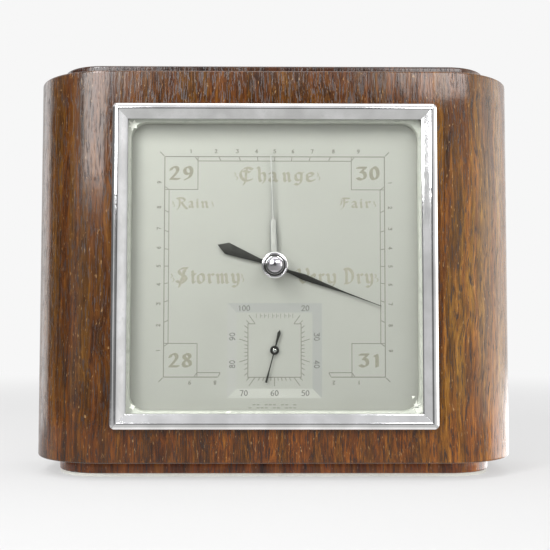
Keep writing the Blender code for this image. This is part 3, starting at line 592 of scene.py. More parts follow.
bezelSet = {
    "half": (bezelHigh.x - bezelLow.x) / 2 / mm,
    "corner": 1.9,
    "seams": (0.012, 0.035, 0.10, 0.10),  # top right, top left, bottom left, bottom right
    "profile": [  # inset from the outer edge, depth
        (0.0, -0.02), (0.0, -1.62), (0.05, -1.84), (0.18, -2.05), (0.5, -2.33), (0.9, -2.6), (1.3, -2.79),
        (1.7, -2.92), (2.0, -2.98), (2.25, -3.0), (2.5, -2.98), (2.7, -2.92), (2.88, -2.82), (3.4, -2.49),
        (4.2, -1.97), (5.0, -1.45), (5.55, -1.1), (5.75, -0.99), (5.95, -0.93), (6.08, -0.9),
        (6.1, -0.85), (5.1, -0.85), (5.1, 7.2), (4.4, 7.2), (4.4, -0.02),
    ],
}


def makeBezel():
    s = bezelSet
    steps = 6
    points, faces = [], []
    signs = [(1, 1), (-1, 1), (-1, -1), (1, -1)]
    for bar in range(4):
        nextBar = (bar + 1) % 4
        stations = [(bar, 90 * bar + 45 + 45 * i / steps) for i in range(steps + 1)]
        stations += [(nextBar, 90 * bar + 90 + 45 * i / steps) for i in range(steps + 1)]
        along = Vector((signs[nextBar][0] - signs[bar][0], signs[nextBar][1] - signs[bar][1])).normalized()
        shifts = [0.0] * len(stations)
        shifts[0], shifts[-1] = s["seams"][bar] / 2, -s["seams"][nextBar] / 2
        rows = []
        for (corner, angle), shift in zip(stations, shifts):
            turn = math.radians(angle)
            row = []
            for inset, depth in s["profile"]:
                radius = max(s["corner"] - inset, 0.12)
                core = s["half"] - inset - radius
                x = signs[corner][0] * core + radius * math.cos(turn) + along.x * shift
                z = signs[corner][1] * core + radius * math.sin(turn) + along.y * shift
                row.append(spot(x, depth, z))
            rows.append(row)
        more, quads = skin(rows, capEnds=True)
        faces += [tuple(len(points) + i for i in quad) for quad in quads]
        points += more
    return meshOf("bezel_mitred", points, faces)


addPiece("bezel_mitred", makeBezel(), "chrome", stands=["bezel"], sharp=28)

slipSet = {"outer": 58.1, "outerRadius": 1.5, "inner": 56.8, "innerRadius": 6.6, "front": 2.4, "back": 5.7}


def makeSlip():
    s = slipSet
    outer, inner, radius, front = s["outer"], s["inner"], s["innerRadius"], s["front"]
    loops = [(outer, s["outerRadius"], s["back"]), (outer, s["outerRadius"], front),
             (inner + 0.3, radius + 0.3, front), (inner + 0.08, radius, front + 0.1),
             (inner, radius, front + 0.35), (inner, radius, s["back"])]
    rows = [[spot(x, depth, z) for x, z in roundedSquare(half, radius)] for half, radius, depth in loops]
    return meshOf("slip_frame_painted", *skin(rows, wrapRows=True))


addPiece("slip_frame_painted", makeSlip(), "cream_enamel", stands=["slip_frame"])

# pale flecks on the slip frame: partly chips in its paint and partly painted glints, as at its top left
# corner
flakeAndGlintSet = [  # right, up, reach, and how far each point reaches as a share of it
    (-55.9, 55.6, 2.7, (1.0, 0.5, 0.85, 0.35, 0.9, 0.4, 0.7, 0.45, 1.0, 0.4, 0.8, 0.5)),
    (-55.4, -55.1, 1.5, (1.0, 0.5, 0.9, 0.4, 0.8, 0.45, 1.0, 0.5)),
    (55.3, -54.4, 2.1, (0.9, 0.3, 1.0, 0.35, 0.6, 0.3, 1.0, 0.4, 0.7, 0.3)),
    (54.0, -51.2, 0.9, (1.0, 0.4, 0.7, 0.4, 1.0, 0.5)),
    (56.6, -56.2, 2.3, (0.5, 0.9, 0.6, 1.0, 0.7, 0.9, 0.5, 0.6)),
    (-18.0, -57.2, 1.5, (1.0, 0.35, 0.3, 0.4, 0.9, 0.3, 0.25, 0.4)),
]


def flakeLoops():
    loops = []
    for x, z, reach, shares in flakeAndGlintSet:
        turns = [2 * math.pi * i / len(shares) + 0.3 for i in range(len(shares))]
        loops.append([(x + reach * share * math.cos(a), z + reach * share * math.sin(a))
                      for a, share in zip(turns, shares)])
    return loops


dialSet = {
    "face": 5.98,  # depth of the print, just in front of the plate
    "ink": 0.016,
    "outer": 43.75,
    "inner": 42.0,
    "line": 0.36,
    "thinLine": 0.3,
    "box": 13.2,  # side of the corner boxes
    "lastTick": 17,  # the scale runs this many steps of 9 degrees to each side of the top
    "numeral": 6.2,
    "numeralWidths": {"28": 9.3, "29": 9.6, "30": 9.4, "31": 8.0},
}


def band(a, b, width):  # a straight line as a loop of four points
    a, b = Vector(a), Vector(b)
    side = (b - a).normalized().orthogonal() * width / 2
    return [tuple(a + side), tuple(a - side), tuple(b - side), tuple(b + side)]


def barMesh(name, loops, depth, thickness, at=(0.0, 0.0)):  # thin raised bars, each one closed
    points, faces = [], []
    for loop in loops:
        n, first = len(loop), len(points)
        points += [spot(at[0] + x, depth - thickness, at[1] + z) for x, z in loop]
        points += [spot(at[0] + x, depth, at[1] + z) for x, z in loop]
        faces.append(tuple(first + i for i in range(n)))
        faces.append(tuple(first + n + i for i in reversed(range(n))))
        faces += [(first + i, first + n + i, first + n + (i + 1) % n, first + (i + 1) % n) for i in range(n)]
    return meshOf(name, points, faces, 1e-9)


def onSquare(half, angle):  # where a ray clockwise from straight up meets a square
    x, z = math.sin(math.radians(angle)), math.cos(math.radians(angle))
    reach = half / max(abs(x), abs(z))
    return x * reach, z * reach


def pressureFrame():
    s = dialSet
    o, i, w, t = s["outer"], s["inner"], s["line"], s["thinLine"]
    edge = o - s["box"]  # where a corner box ends
    gap = math.tan(math.radians(180 - 9 * s["lastTick"]))  # the frame is open below the last ticks
    bars = [band((-o - w / 2, o), (o + w / 2, o), w)]
    bars += [band((x, -o + w / 2), (x, o - w / 2), w) for x in (-o, o)]
    bars += [band((x * gap * o, -o), (x * (o + w / 2), -o), w) for x in (-1, 1)]
    bars += [band((-edge, i), (edge, i), t)]
    bars += [band((x, -edge), (x, edge), t) for x in (-i, i)]
    bars += [band((x * gap * i, -i), (x * edge, -i), t) for x in (-1, 1)]
    for x in (-1, 1):  # corner boxes, each with a tick out of its corner
        for z in (-1, 1):
            bars += [band((x * (o - w / 2), z * edge), (x * (edge - t / 2), z * edge), t)]
            bars += [band((x * edge, z * (edge + t / 2)), (x * edge, z * (o - w / 2)), t)]
            bars += [band((x * (o + 0.3), z * (o + 0.3)), (x * (o + 1.9), z * (o + 1.9)), w)]
    for step in range(-s["lastTick"], s["lastTick"] + 1):
        if step % 10 != 5:
            bars.append(band(onSquare(i + t / 2, 9 * step), onSquare(o - w / 2, 9 * step), t))
    return bars


addPiece("dial_scale", barMesh("dial_scale", pressureFrame(), dialSet["face"], dialSet["ink"]), "scale_ink")

digits = {  # pen lines, one unit high
    "0": [[(.32, .98), (.1, .8), (.05, .5), (.12, .16), (.32, .02), (.53, .18), (.6, .5), (.52, .84),
          (.32, .98)]],
    "1": [[(.22, .82), (.36, .95), (.36, .04)]],
    "2": [[(.06, .74), (.16, .94), (.42, .98), (.56, .78), (.48, .54), (.06, .05)], [(.06, .05),
          (.62, .05)]],
    "3": [[(.02, .93), (.60, .93)], [(.60, .93), (.27, .6)], [(.27, .6), (.5, .57), (.6, .32), (.5, .08),
          (.24, .02), (.02, .14)]],
    "4": [[(.46, .0), (.46, .98)], [(.46, .98), (.04, .3)], [(.04, .3), (.64, .3)]],
    "5": [[(.54, .95), (.15, .95)], [(.15, .95), (.12, .55)], [(.12, .55), (.36, .62), (.57, .44),
          (.55, .16), (.32, .02), (.06, .1)]],
    "6": [[(.52, .95), (.22, .82), (.07, .45), (.12, .12), (.34, .02), (.55, .16), (.54, .44), (.32, .56),
          (.1, .4)]],
    "7": [[(.04, .95), (.58, .95)], [(.58, .95), (.26, .0)]],
    "8": [[(.32, .55), (.11, .68), (.12, .9), (.32, .98), (.52, .9), (.53, .68), (.32, .55), (.07, .36),
          (.08, .1), (.32, .02), (.56, .1), (.57, .36), (.32, .55)]],
    "9": [[(.58, .62), (.44, .44), (.2, .42), (.06, .64), (.14, .9), (.36, .98), (.56, .84), (.58, .5),
          (.44, .18), (.14, .02)]],
}


def rounded(line, passes=2):  # cuts the corners of a pen line
    for _ in range(passes):
        cut = [line[0]]
        for (ax, ay), (bx, by) in zip(line, line[1:]):
            cut += [(ax * .75 + bx * .25, ay * .75 + by * .25), (ax * .25 + bx * .75, ay * .25 + by * .75)]
        line = cut + [line[-1]]
    return line


def stem(x, top=.82, foot=.14):  # an upright of the old lettering, with its diamond ends
    return [(x - .12, top + .10), (x, top), (x, .17), (x + foot, .05)]


letters = {  # pen lines; the small letters are one unit high
    "a": [[(.06, .88), (.24, .97), (.42, .82), (.42, .17), (.56, .05)], [(.42, .58), (.1, .42), (.04, .22),
          (.18, .05), (.42, .22)]],
    "e": [[(.04, .80), (.04, .20), (.22, .04), (.48, .20)], [(.04, .80), (.24, .97), (.46, .74),
          (.08, .46)]],
    "g": [[(.04, .80), (.04, .30), (.22, .13), (.42, .28)], [(.04, .80), (.24, .97), (.42, .84)],
          [(.54, .97), (.42, .86), (.42, .0), (.22, -.32), (.0, -.20)]],
    "h": [[(-.12, 1.5), (.02, 1.4), (.02, .17), (.16, .05)], [(.02, .74), (.28, .97), (.46, .80),
          (.46, .14), (.30, -.14)]],
    "i": [stem(.02), [(-.05, 1.26), (.07, 1.16)]],
    "m": [stem(.02, foot=.11), [(.04, .76), (.30, .95)], stem(.43, foot=.11), [(.45, .76), (.70, .95)],
          stem(.84)],
    "n": [stem(.02, foot=.11), [(.04, .76), (.30, .95)], stem(.45)],
    "o": [[(.04, .80), (.04, .20), (.24, .04)], [(.04, .80), (.26, .97), (.48, .80), (.48, .20),
          (.24, .04)]],
    "r": [stem(.02), [(.04, .76), (.32, .97), (.48, .82)]],
    "t": [[(.0, 1.22), (.10, 1.1), (.10, .17), (.24, .05), (.40, .14)], [(-.06, .90), (.44, .90)]],
    "y": [[(-.10, .94), (.02, .82), (.02, .24), (.22, .08), (.45, .26)], [(.33, .95), (.45, .84), (.45, .0),
          (.22, -.34), (.0, -.22)]],
    "C": [[(.92, 1.28), (.62, 1.5), (.26, 1.34), (.08, .86), (.2, .32), (.5, .06), (.90, .24)],
          [(.56, 1.46), (.48, .9), (.48, .2), (.34, -.28)], [(.30, 1.12), (.74, .98)]],
    "D": [[(.08, 1.44), (.24, 1.32), (.24, .12)], [(.0, 1.48), (.46, 1.5), (.88, 1.12), (.90, .46),
          (.62, .06), (.06, .04)]],
    "F": [[(.02, 1.22), (.22, 1.46), (.94, 1.40)], [(.40, 1.38), (.40, .22), (.08, -.20)], [(.40, .82),
          (.82, .88)], [(.14, 1.10), (.10, .62), (.0, .42)]],
    "R": [[(.06, 1.4), (.28, 1.3), (.28, .24), (.04, -.26)], [(.0, 1.44), (.52, 1.5), (.84, 1.2),
          (.70, .88), (.30, .78)], [(.48, .78), (.78, .16), (1.04, -.16)]],
    "S": [[(.96, 1.50), (.42, 1.50), (.16, 1.26), (.30, .96), (.74, .72), (.90, .42), (.70, .10),
          (.34, .06), (.0, .26)], [(.86, 1.46), (.46, .60), (.34, .1), (.24, -.34)], [(.62, 1.30),
          (.62, .20)]],
    "V": [[(.0, 1.26), (.18, 1.46), (.28, 1.2), (.28, .40), (.58, .04)], [(.80, 1.5), (.96, 1.12),
          (.86, .46), (.58, .04)]],
    "*": [[(.0, .95), (.16, .75), (.0, .55)], [(.16, .5), (.3, .3), (.16, .1)]],  # a small flourish
}


def penField(lines, pen):  # distance to the ink on a grid, for a broad pen held at a slant
    step, wide, thin = pen["grid"], pen["wide"], pen["thin"]
    slant = math.radians(pen["slant"])
    reach = np.array([math.cos(slant), math.sin(slant)]) * wide / 2
    everything = np.array([p for line in lines for p in line])
    margin = wide / 2 + thin + 3 * step
    low = everything.min(0) - margin
    size = np.ceil((everything.max(0) + margin - low) / step).astype(int) + 1
    field = np.full(size, 9.0)
    for line in lines:
        for a, b in zip(line, line[1:]):
            a, b = np.array(a), np.array(b)
            corners = np.array([a + reach, b + reach, b - reach, a - reach])
            first = np.maximum(np.floor((corners.min(0) - thin - 3 * step - low) / step).astype(int), 0)
            last = np.minimum(np.ceil((corners.max(0) + thin + 3 * step - low) / step).astype(int) + 1, size)
            xs = low[0] + step * np.arange(first[0], last[0])
            ys = low[1] + step * np.arange(first[1], last[1])
            px, py = np.meshgrid(xs, ys, indexing="ij")
            best = np.full(px.shape, 99.0)
            inside = np.ones(px.shape, bool)
            ab, bc = corners[1] - corners[0], corners[2] - corners[1]
            turn = math.copysign(1.0, ab[0] * bc[1] - ab[1] * bc[0])
            for p, q in zip(corners, np.roll(corners, -1, 0)):
                e = q - p
                along = np.clip(((px - p[0]) * e[0] + (py - p[1]) * e[1]) / max(e @ e, 1e-12), 0, 1)
                best = np.minimum(best, np.hypot(px - p[0] - along * e[0], py - p[1] - along * e[1]))
                inside &= (e[0] * (py - p[1]) - e[1] * (px - p[0])) * turn > 0
            best = np.where(inside, -best, best) - thin / 2
            window = field[first[0]:last[0], first[1]:last[1]]
            np.minimum(window, best, out=window)
    return field, low, step


def inkLoops(lines, pen):  # outlines of the ink, traced cell by cell
    field, low, step = penField(lines, pen)
    inside = field < 0
    total = inside[:-1, :-1].astype(int) + inside[1:, :-1] + inside[1:, 1:] + inside[:-1, 1:]
    links = {}
    for i, j in np.argwhere((total > 0) & (total < 4)):
        i, j = int(i), int(j)
        corners = [inside[i, j], inside[i + 1, j], inside[i + 1, j + 1], inside[i, j + 1]]
        keys = [(i, j, 0), (i + 1, j, 1), (i, j + 1, 0), (i, j, 1)]
        for k in range(4):
            if corners[k] and not corners[(k + 1) % 4]:
                m = k
                while corners[m % 4]:
                    m -= 1
                links[keys[k]] = keys[m % 4]
    loops = []
    while links:
        start = key = next(iter(links))
        loop = []
        while key in links:
            i, j, upright = key
            other = (i, j + 1) if upright else (i + 1, j)
            share = field[i, j] / (field[i, j] - field[other])
            x = i + (0 if upright else share)
            y = j + (share if upright else 0)
            loop.append((float(low[0] + x * step), float(low[1] + y * step)))
            key = links.pop(key)
            if key == start:
                break
        loops.append(thinned(loop, pen["grid"] * 0.12))
    return [loop for loop in loops if len(loop) > 3]


def thinned(loop, slack):  # leaves out the points that lie on a straight run
    def run(points):
        if len(points) < 3:
            return points
        a, b = np.array(points[0]), np.array(points[-1])
        d = b - a
        span = max(np.hypot(*d), 1e-9)
        off = [abs(d[0] * (p[1] - a[1]) - d[1] * (p[0] - a[0])) / span for p in points[1:-1]]
        far = int(np.argmax(off)) + 1
        if off[far - 1] < slack:
            return [points[0], points[-1]]
        return run(points[:far + 1])[:-1] + run(points[far:])
    half = len(loop) // 2
    return run(loop[:half + 1])[:-1] + run(loop[half:] + loop[:1])[:-1]


def scaledTo(lines, left, right, bottom, scale, pen):  # stretched so that the ink spans left to right
    slant = math.radians(pen["slant"])
    edge = (math.cos(slant) * pen["wide"] + pen["thin"]) / 2
    xs = [x for line in lines for x, _ in line]
    widen = (right - left - 2 * edge) / (max(xs) - min(xs))
    return [[(left + edge + (x - min(xs)) * widen, bottom + y * scale) for x, y in line] for line in lines]


figurePitch = .76  # from one small figure to the next, as a share of their height


def numberLines(text, pitch=figurePitch):
    lines = []
    for n, figure in enumerate(text):
        for line in digits[figure]:
            lines.append([(x + pitch * n, y) for x, y in (rounded(line) if len(line) > 2 else line)])
    return lines


def smallNumber(text, height, centre, side):  # side is the way its top faces, clockwise from straight up
    c, s = math.cos(math.radians(side)), math.sin(math.radians(side))
    half = (figurePitch * (len(text) - 1) + .62) / 2
    return [[(centre[0] + height * ((x - half) * c + (y - .5) * s),
              centre[1] + height * ((y - .5) * c - (x - half) * s))
             for x, y in line] for line in numberLines(text)]


def printed(name, loops, ink):
    mesh = pressed(name, loops, dialSet["ink"], dialSet["face"] - dialSet["ink"] / 2)
    addPiece(name, mesh, ink)


bigPen = {"grid": 0.07, "wide": 1.05, "thin": 0.42, "slant": 24}
smallPen = {"grid": 0.05, "wide": 0.16, "thin": 0.22, "slant": 20}
wordPen = {"grid": 0.06, "wide": 1.02, "thin": 0.2, "slant": 38}
minorPen = {"grid": 0.05, "wide": 0.72, "thin": 0.16, "slant": 38}

loops = []
corner = dialSet["outer"] - dialSet["box"] / 2
for text, x, z in (("28", -1, -1), ("29", -1, 1), ("30", 1, 1), ("31", 1, -1)):
    half, tall = dialSet["numeralWidths"][text] / 2, dialSet["numeral"] - 0.9
    left, right = x * corner - half, x * corner + half
    lines = scaledTo(numberLines(text, .95), left, right, z * corner - tall / 2, tall, bigPen)
    loops += inkLoops(lines, bigPen)
printed("dial_numerals", loops, "numeral_ink")

loops = []
for step in range(-dialSet["lastTick"], dialSet["lastTick"] + 1):
    if step % 10 != 5:
        side = round(step / 10) * 90
        centre = onSquare(dialSet["outer"] + 2.2, 9 * step)
        loops += inkLoops(smallNumber(str((step + 5) % 10), 1.5, centre, side), smallPen)
printed("dial_tenths", loops, "scale_ink")

wordSet = [  # base line, height of the small letters, pen, and the left and right end of each letter
    (-6.9, 4.35, wordPen, "*Stormy*", [
        (-41.2, -39.6), (-39.3, -34.0), (-33.3, -30.9), (-30.8, -27.5), (-26.8, -23.7), (-23.4, -18.0),
        (-17.5, -13.8), (-13.4, -12.0)]),
    (-6.9, 4.35, wordPen, "VeryDry*", [
        (8.1, 13.9), (14.1, 16.8), (17.3, 19.9), (20.2, 24.4), (27.1, 31.5), (32.4, 35.3), (35.6, 39.1),
        (39.6, 41.2)]),
    (33.7, 4.15, wordPen, "*Change*", [
        (-16.2, -14.6), (-14.1, -8.4), (-7.3, -3.4), (-2.6, 1.5), (2.9, 6.7), (7.6, 11.8), (12.4, 16.4),
        (16.8, 18.2)]),
    (23.2, 2.9, minorPen, "*Rain*", [
        (-40.8, -39.6), (-39.2, -34.4), (-34.3, -32.0), (-31.3, -30.1), (-29.4, -26.2), (-25.2, -24.2)]),
    (23.3, 2.9, minorPen, "Fair*", [(25.8, 30.1), (30.5, 33.2), (33.8, 35.1), (35.9, 38.4), (39.2, 40.4)]),
]
loops = []
for base, height, pen, text, ends in wordSet:
    for letter, (left, right) in zip(text, ends):
        lines = [rounded(line, 1) for line in letters[letter]]
        foot, size, nib = (.1, .8, smallPen) if letter == "*" else (0, .93, pen)
        loops += inkLoops(scaledTo(lines, left, right, base + foot * height, height * size, nib), nib)
printed("dial_words", loops, "word_ink")
print("dial printing made")

heatSet = {
    "centre": (0.0, -33.3),
    "half": 10.5,
    "tick": 1.35,
    "longTick": 3.4,
    "numbers": 16.7,
    "numberHeight": 2.2,
    "bandInner": 15.0,
    "bandOuter": 18.7,
    "pitch": 1.6,  # from one plain stroke to the next
    "dashes": (-21.3, -22.5),  # heights of the two rows of plain dashes under the scale
    "dashLeft": -10.2,
    "dash": 1.1,
    "strokeLeft": -7.2,  # the row of short strokes over the pivot
    "stroke": (12.8, 14.5),
}


def heatAngle(value):  # clockwise from straight up
    return 180 + (value - 60) * 3.6


def heatBars():
    s = heatSet
    h, t = s["half"], dialSet["thinLine"]
    bars = [band((-h - t / 2, -h), (h + t / 2, -h), t)]
    bars += [band((x, -h + t / 2), (x, h - t / 2), t) for x in (-h, h)]
    bars += [band((x * h * math.tan(math.radians(36)), h), (x * (h + t / 2), h), t) for x in (-1, 1)]
    for value in range(20, 101, 2):
        length = s["longTick"] if value % 10 == 0 else s["tick"]
        angle = heatAngle(value)
        bars.append(band(onSquare(h + t / 2, angle), onSquare(h + length, angle), t * 0.9))
    for row, height in enumerate(s["dashes"]):
        for i in range(12):
            if (i * 5 + row * 3) % 7 > 1:  # leaves gaps in the rows
                x = s["dashLeft"] + s["pitch"] * i
                bars.append(band((x, height), (x + s["dash"], height), t * 0.9))
    foot, top = s["stroke"]
    for i in range(10):
        x = s["strokeLeft"] + s["pitch"] * i
        bars.append(band((x, foot), (x, top), t * 0.6))
        if i % 3:
            bars.append(band((x + 0.15, (foot + top) / 2), (x + 0.85, (foot + top) / 2), t * 0.6))
    return bars


# the pale flecks: chips in the paint and painted glints
mesh = barMesh("slip_frame_flakes_and_glints", flakeLoops(), slipSet["front"] - 0.02, 0.12)
addPiece("slip_frame_flakes_and_glints", mesh, "flake_and_glint_paint")
print("bezel, slip frame and its flaking paint made")
addPiece("thermometer_scale", barMesh("thermometer_scale", heatBars(), dialSet["face"], dialSet["ink"],
                                      heatSet["centre"]), "scale_ink")
loops = []
for value in range(20, 101, 10):
    side = {30: 90, 40: 90, 80: -90, 90: -90}.get(value, 0)
    x, z = onSquare(heatSet["numbers"], heatAngle(value))
    centre = (x + heatSet["centre"][0], z + heatSet["centre"][1])
    loops += inkLoops(smallNumber(str(value), heatSet["numberHeight"], centre, side), smallPen)
printed("thermometer_numerals", loops, "number_ink")


bandSet = {  # the way each side of the band behind the figures faces, and its finish, a copy of the silvering with the brushing's sheen painted in: brighter at the bottom, dimmer at the top and right
    "top": (1, 0, "band_sheen_dim"),
    "right": (0, 1, "band_sheen_dim"),
    "bottom": (-1, 0, "band_sheen_bright"),
    "left": (0, -1, "band_sheen_soft"),
}
for side, (c, s, finish) in bandSet.items():
    a, b = heatSet["bandInner"], heatSet["bandOuter"]
    loop = [(x * c + z * s, z * c - x * s) for x, z in ((-b, b), (b, b), (a, a), (-a, a))]
    mesh = barMesh("thermometer_band_" + side, [loop], dialSet["face"] + 0.016, 0.012, heatSet["centre"])
    addPiece("thermometer_band_" + side, mesh, finish)
print("thermometer scale made")


def handLoop(stations, angle):  # stations of (distance along the hand, half width)
    turn = math.radians(angle)
    outline = [(half, along) for along, half in stations]
    outline += [(-half, along) for along, half in reversed(stations) if half > 0]
    c, s = math.cos(turn), math.sin(turn)
    return [(x * c + y * s, y * c - x * s) for x, y in outline]


def circleLoop(radius):
    return arcPoints((0, 0), radius, 0, 360, 40)[:-1]


handSet = {
    "pressureAngle": 110.5,
    "pressure": [(-24.1, 0), (-20.1, 2.4), (-6, 0.8), (-1.9, 1.6), (1.9, 1.6), (6, 0.6), (12.2, 1.25),
                 (29.2, 0.3), (45, 0.1)],
    "setAngle": -2.0,
    "set": [(-2.6, 1.0), (-1.4, 2.2), (1.4, 2.2), (3.0, 1.2), (17.8, 1.0), (18.8, 0.3), (44.0, 0.12)],
    "setPaintedEdge": (0.2, 0.07),  # how far the painted dark edge stands out round the blade and its needle
}
blade = handLoop(handSet["pressure"], handSet["pressureAngle"])
mesh = pressed("pressure_hand_blade", [blade, circleLoop(0.7)], 0.4, 4.9, 0.05)
addPiece("pressure_hand_blade", mesh, "black_steel", "hand_arbor", ["pressure_hand"])
# a darker steel rim round the pale blade: painted dark reflection along the blade's edges
wide, narrow = handSet["setPaintedEdge"]
edge = [(along, half + (wide if half > wide else narrow)) for along, half in handSet["set"]]
mesh = pressed("set_hand_painted_dark_edge", [handLoop(edge, handSet["setAngle"]), circleLoop(1.05)], 0.24, 3.6)
addPiece("set_hand_painted_dark_edge", mesh, "spring_steel", "set_hand")
blade = handLoop(handSet["set"], handSet["setAngle"])
mesh = pressed("set_hand_blade", [blade, circleLoop(1.0)], 0.4, 3.5, 0.05)
addPiece("set_hand_blade", mesh, "pale_nickel", "set_hand", ["set_hand"])
hub = (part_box("thermometer_hand")[0].y - frontY) / mm
hubProfile = [(0, hub - 0.3), (0.45, hub - 0.26), (0.7, hub - 0.1), (0.75, hub + 0.15), (0, hub + 0.15)]
mesh = turned("thermometer_hub_cap", hubProfile, heatSet["centre"], 32)
addPiece("thermometer_hub_cap", mesh, "chrome", "thermometer_hand")
print("hands made")

domeSet = {"radius": 4.4, "middle": -0.9}  # the knob's domed front
domeTurns = [math.radians(a) for a in range(5, 41, 5)]
knobProfile = [(0, domeSet["middle"] - domeSet["radius"])]
knobProfile += [(domeSet["radius"] * math.sin(a), domeSet["middle"] - domeSet["radius"] * math.cos(a))
                for a in domeTurns]
knobProfile += [(2.93, -4.15), (3.0, -3.95), (3.0, -2.0), (0.95, -2.0), (0.95, 3.9), (0, 3.9)]
mesh = turned("set_hand_knob_turned", knobProfile)
addPiece("set_hand_knob_turned", mesh, "knob_nickel", "set_hand", ["set_hand_knob"])
bushProfile = [
    (5.2, -0.95), (5.2, -1.3), (5.1, -1.56), (4.9, -1.74), (4.66, -1.8), (4.42, -1.74), (4.24, -1.56),
    (4.14, -1.32), (4.02, -1.22), (3.74, -1.22), (3.64, -1.4), (3.54, -1.56), (3.42, -1.6), (3.32, -1.5),
    (3.24, -1.22), (1.25, -1.22), (1.25, 3.0), (1.8, 3.0), (1.8, -0.95)]
# dark rings of black steel laid in the bush's grooves: painted shade
grooveShadeProfile = [(3.62, -1.36), (3.62, -1.44), (3.2, -1.58), (3.2, -1.2), (4.36, -1.2), (4.36, -1.62),
                 (4.12, -1.36)]
mesh = turned("set_hand_bush_groove_shade", grooveShadeProfile, closed=True)
addPiece("set_hand_bush_groove_shade", mesh, "black_steel")
mesh = turned("set_hand_bush_turned", bushProfile, closed=True)
addPiece("set_hand_bush_turned", mesh, "chrome", stands=["set_hand_bush"])
print("knob and bush made")

slotOf = {row["node"]: row["material_slot"] for row in frame["record"]["subparts"]}
shown = 0
for node, piece in frame["nodes"].items():
    if piece.hide_render:
        continue
    piece.data.materials.clear()
    piece.data.materials.append(finishes[slotOf[node]])
    shown += 1
print("CAD nodes with new finishes:", shown)

stageSet = {
    "white": 0.93,  # the backdrop, and the floor far away
    "near": 300.0,  # the paper floor fades to white between these distances
    "far": 750.0,
    "albedo": 0.20,
    "glow": 0.52,  # light of the paper's own
}


def makeFloor():
    turns = [2 * math.pi * i / 64 for i in range(64)]
    rings = [[Vector((r * math.cos(a), r * math.sin(a), 0)) for a in turns] for r in (0.001, 0.5, 2.0, 12.0)]
    mesh = meshOf("floor", *skin(rings))
    floor = bpy.data.objects.new("floor", mesh)
    bpy.context.scene.collection.objects.link(floor)
    floor.location.z = -0.0002
    floor.visible_glossy = False  # the glass and the chrome mirror the room instead
    s = stageSet
    material, place = newMaterial("floor_paper")
    mask = place.node("VectorMath", {"operation": "LENGTH"}, {0: place}, 1).between(s["near"], s["far"])
    paper = place.node("BsdfDiffuse", None, {"Color": tone(s["albedo"])})
    glow = place.node("Emission", None, {"Color": tone(1), "Strength": s["glow"]})
    near = place.node("AddShader", None, {0: paper, 1: glow})
    far = place.node("Emission", None, {"Color": tone(1), "Strength": s["white"]})
    shader = place.node("MixShader", None, {0: mask, 1: near, 2: far})
    mesh.materials.append(finishMaterial(material, shader))


makeFloor()

roomSet = {  # stops round the room, from behind on the left through the front to behind on the right
    "level": [
        (0.0, 0.78), (0.10, 0.8), (0.125, 2.0), (0.175, 2.1), (0.192, 0.16), (0.315, 0.14), (0.33, 0.62),
        (0.365, 0.6), (0.38, 0.24), (0.46, 0.20), (0.475, 0.11), (0.53, 0.11), (0.555, 0.5), (0.65, 0.8),
        (0.72, (2.7, 2.6, 2.45)), (0.82, (2.6, 2.5, 2.4)), (0.88, 1.1), (1.0, 0.85),
    ],
    "below": [
        (0.0, 0.8), (0.19, 0.7), (0.30, 0.5), (0.60, 0.55), (0.74, 0.8), (0.77, 3.6), (0.92, 3.4),
        (0.96, 0.9),
    ],
    "upper": tone(0.88, 0.88, 0.9),
    "high": tone(0.72, 0.72, 0.73),
    "ceiling": tone(1.15),
    "ground": tone(0.62, 0.62, 0.61),
    "down": tone(1.0, 0.99, 0.98),
}


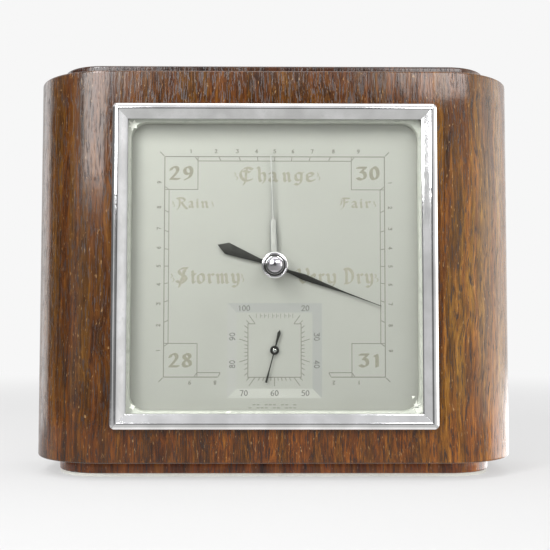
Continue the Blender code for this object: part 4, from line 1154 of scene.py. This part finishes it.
def makeWorld():
    s = roomSet
    world = bpy.data.worlds.new("studio")
    bpy.context.scene.world = world
    world.use_nodes = True
    tree = world.node_tree
    tree.nodes.clear()
    start = Wire(tree)
    x, y, z = start.node("TexCoord", None, None, 0).axes()
    # from 0 behind on the left, through 0.5 straight in front, to 1 behind on the right
    around = start.maths("ARCTAN2", x, y * -1.0) * (0.5 / math.pi) + 0.5
    sky = z.between(0.30, 0.52).mix(around.ramp(*s["level"]), s["upper"])
    sky = z.between(0.70, 0.80).mix(sky, s["high"])
    sky = z.between(0.865, 0.89).mix(sky, s["ceiling"])
    low = (z - around.between(0.72, 0.77) * 0.06).between(-0.16, -0.10)
    sky = (1.0 - low).mix(sky, z.between(-0.36, -0.24).mix(s["ground"], around.ramp(*s["below"])))
    sky = (1.0 - z.between(-0.88, -0.80)).mix(sky, s["down"])
    sky = start.node("LightPath").mix(sky, tone(stageSet["white"]))  # what the camera sees is plain
    light = start.node("Background", None, {"Color": sky, "Strength": 1.0})
    output = tree.nodes.new("ShaderNodeOutputWorld")
    tree.links.new(light.socket, output.inputs["Surface"])


makeWorld()

lampSet = {  # name: place relative to the dial's centre in metres, width, height, watts
    "key": ((-0.26, -0.34, 0.40), 0.13, 0.13, 1.8),
    "window": ((-0.44, -0.66, 0.37), 0.50, 0.46, 5.2),
    "panel": ((0.36, -0.52, 0.40), 0.5, 0.24, 2.5),
    "top": ((0.0, -0.02, 0.95), 0.9, 0.7, 2.5),
    "fill": ((0.05, -1.2, -0.02), 0.9, 0.6, 6.3),
}


def makeLamps():
    aim = spot(0, 0, 0)
    for name, (offset, width, height, watts) in lampSet.items():
        data = bpy.data.lights.new(name, "AREA")
        data.shape = "RECTANGLE"
        data.size, data.size_y = width, height
        data.energy = watts
        lamp = bpy.data.objects.new(name, data)
        bpy.context.scene.collection.objects.link(lamp)
        lamp.location = aim + Vector(offset)
        lamp.rotation_mode = "QUATERNION"
        lamp.rotation_quaternion = (-Vector(offset)).to_track_quat("-Z", "Y")
        lamp.visible_camera = False
        lamp.visible_glossy = name != "fill"


makeLamps()

cameraSet = {
    "place": (-2.83, -349.6, -21.8),  # from the dial's centre on the case front, in millimetres
    "yaw": 0.0084,  # the three turns are in radians
    "pitch": 0.0515,
    "roll": 0.0010,
    "lens": 58.82,
}


def makeCamera():
    s = cameraSet
    data = bpy.data.cameras.new("camera")
    data.lens = s["lens"]
    data.sensor_width = 36.0
    data.clip_start = 0.01
    camera = bpy.data.objects.new("camera", data)
    bpy.context.scene.collection.objects.link(camera)
    turn = (Matrix.Rotation(-s["yaw"], 4, "Z") @ Matrix.Rotation(math.pi / 2 + s["pitch"], 4, "X")
            @ Matrix.Rotation(s["roll"], 4, "Z"))
    camera.matrix_world = Matrix.Translation(spot(*s["place"])) @ turn
    bpy.context.scene.camera = camera


makeCamera()
bpy.context.scene.view_settings.view_transform = "Standard"
print("stage, lamps and camera made")
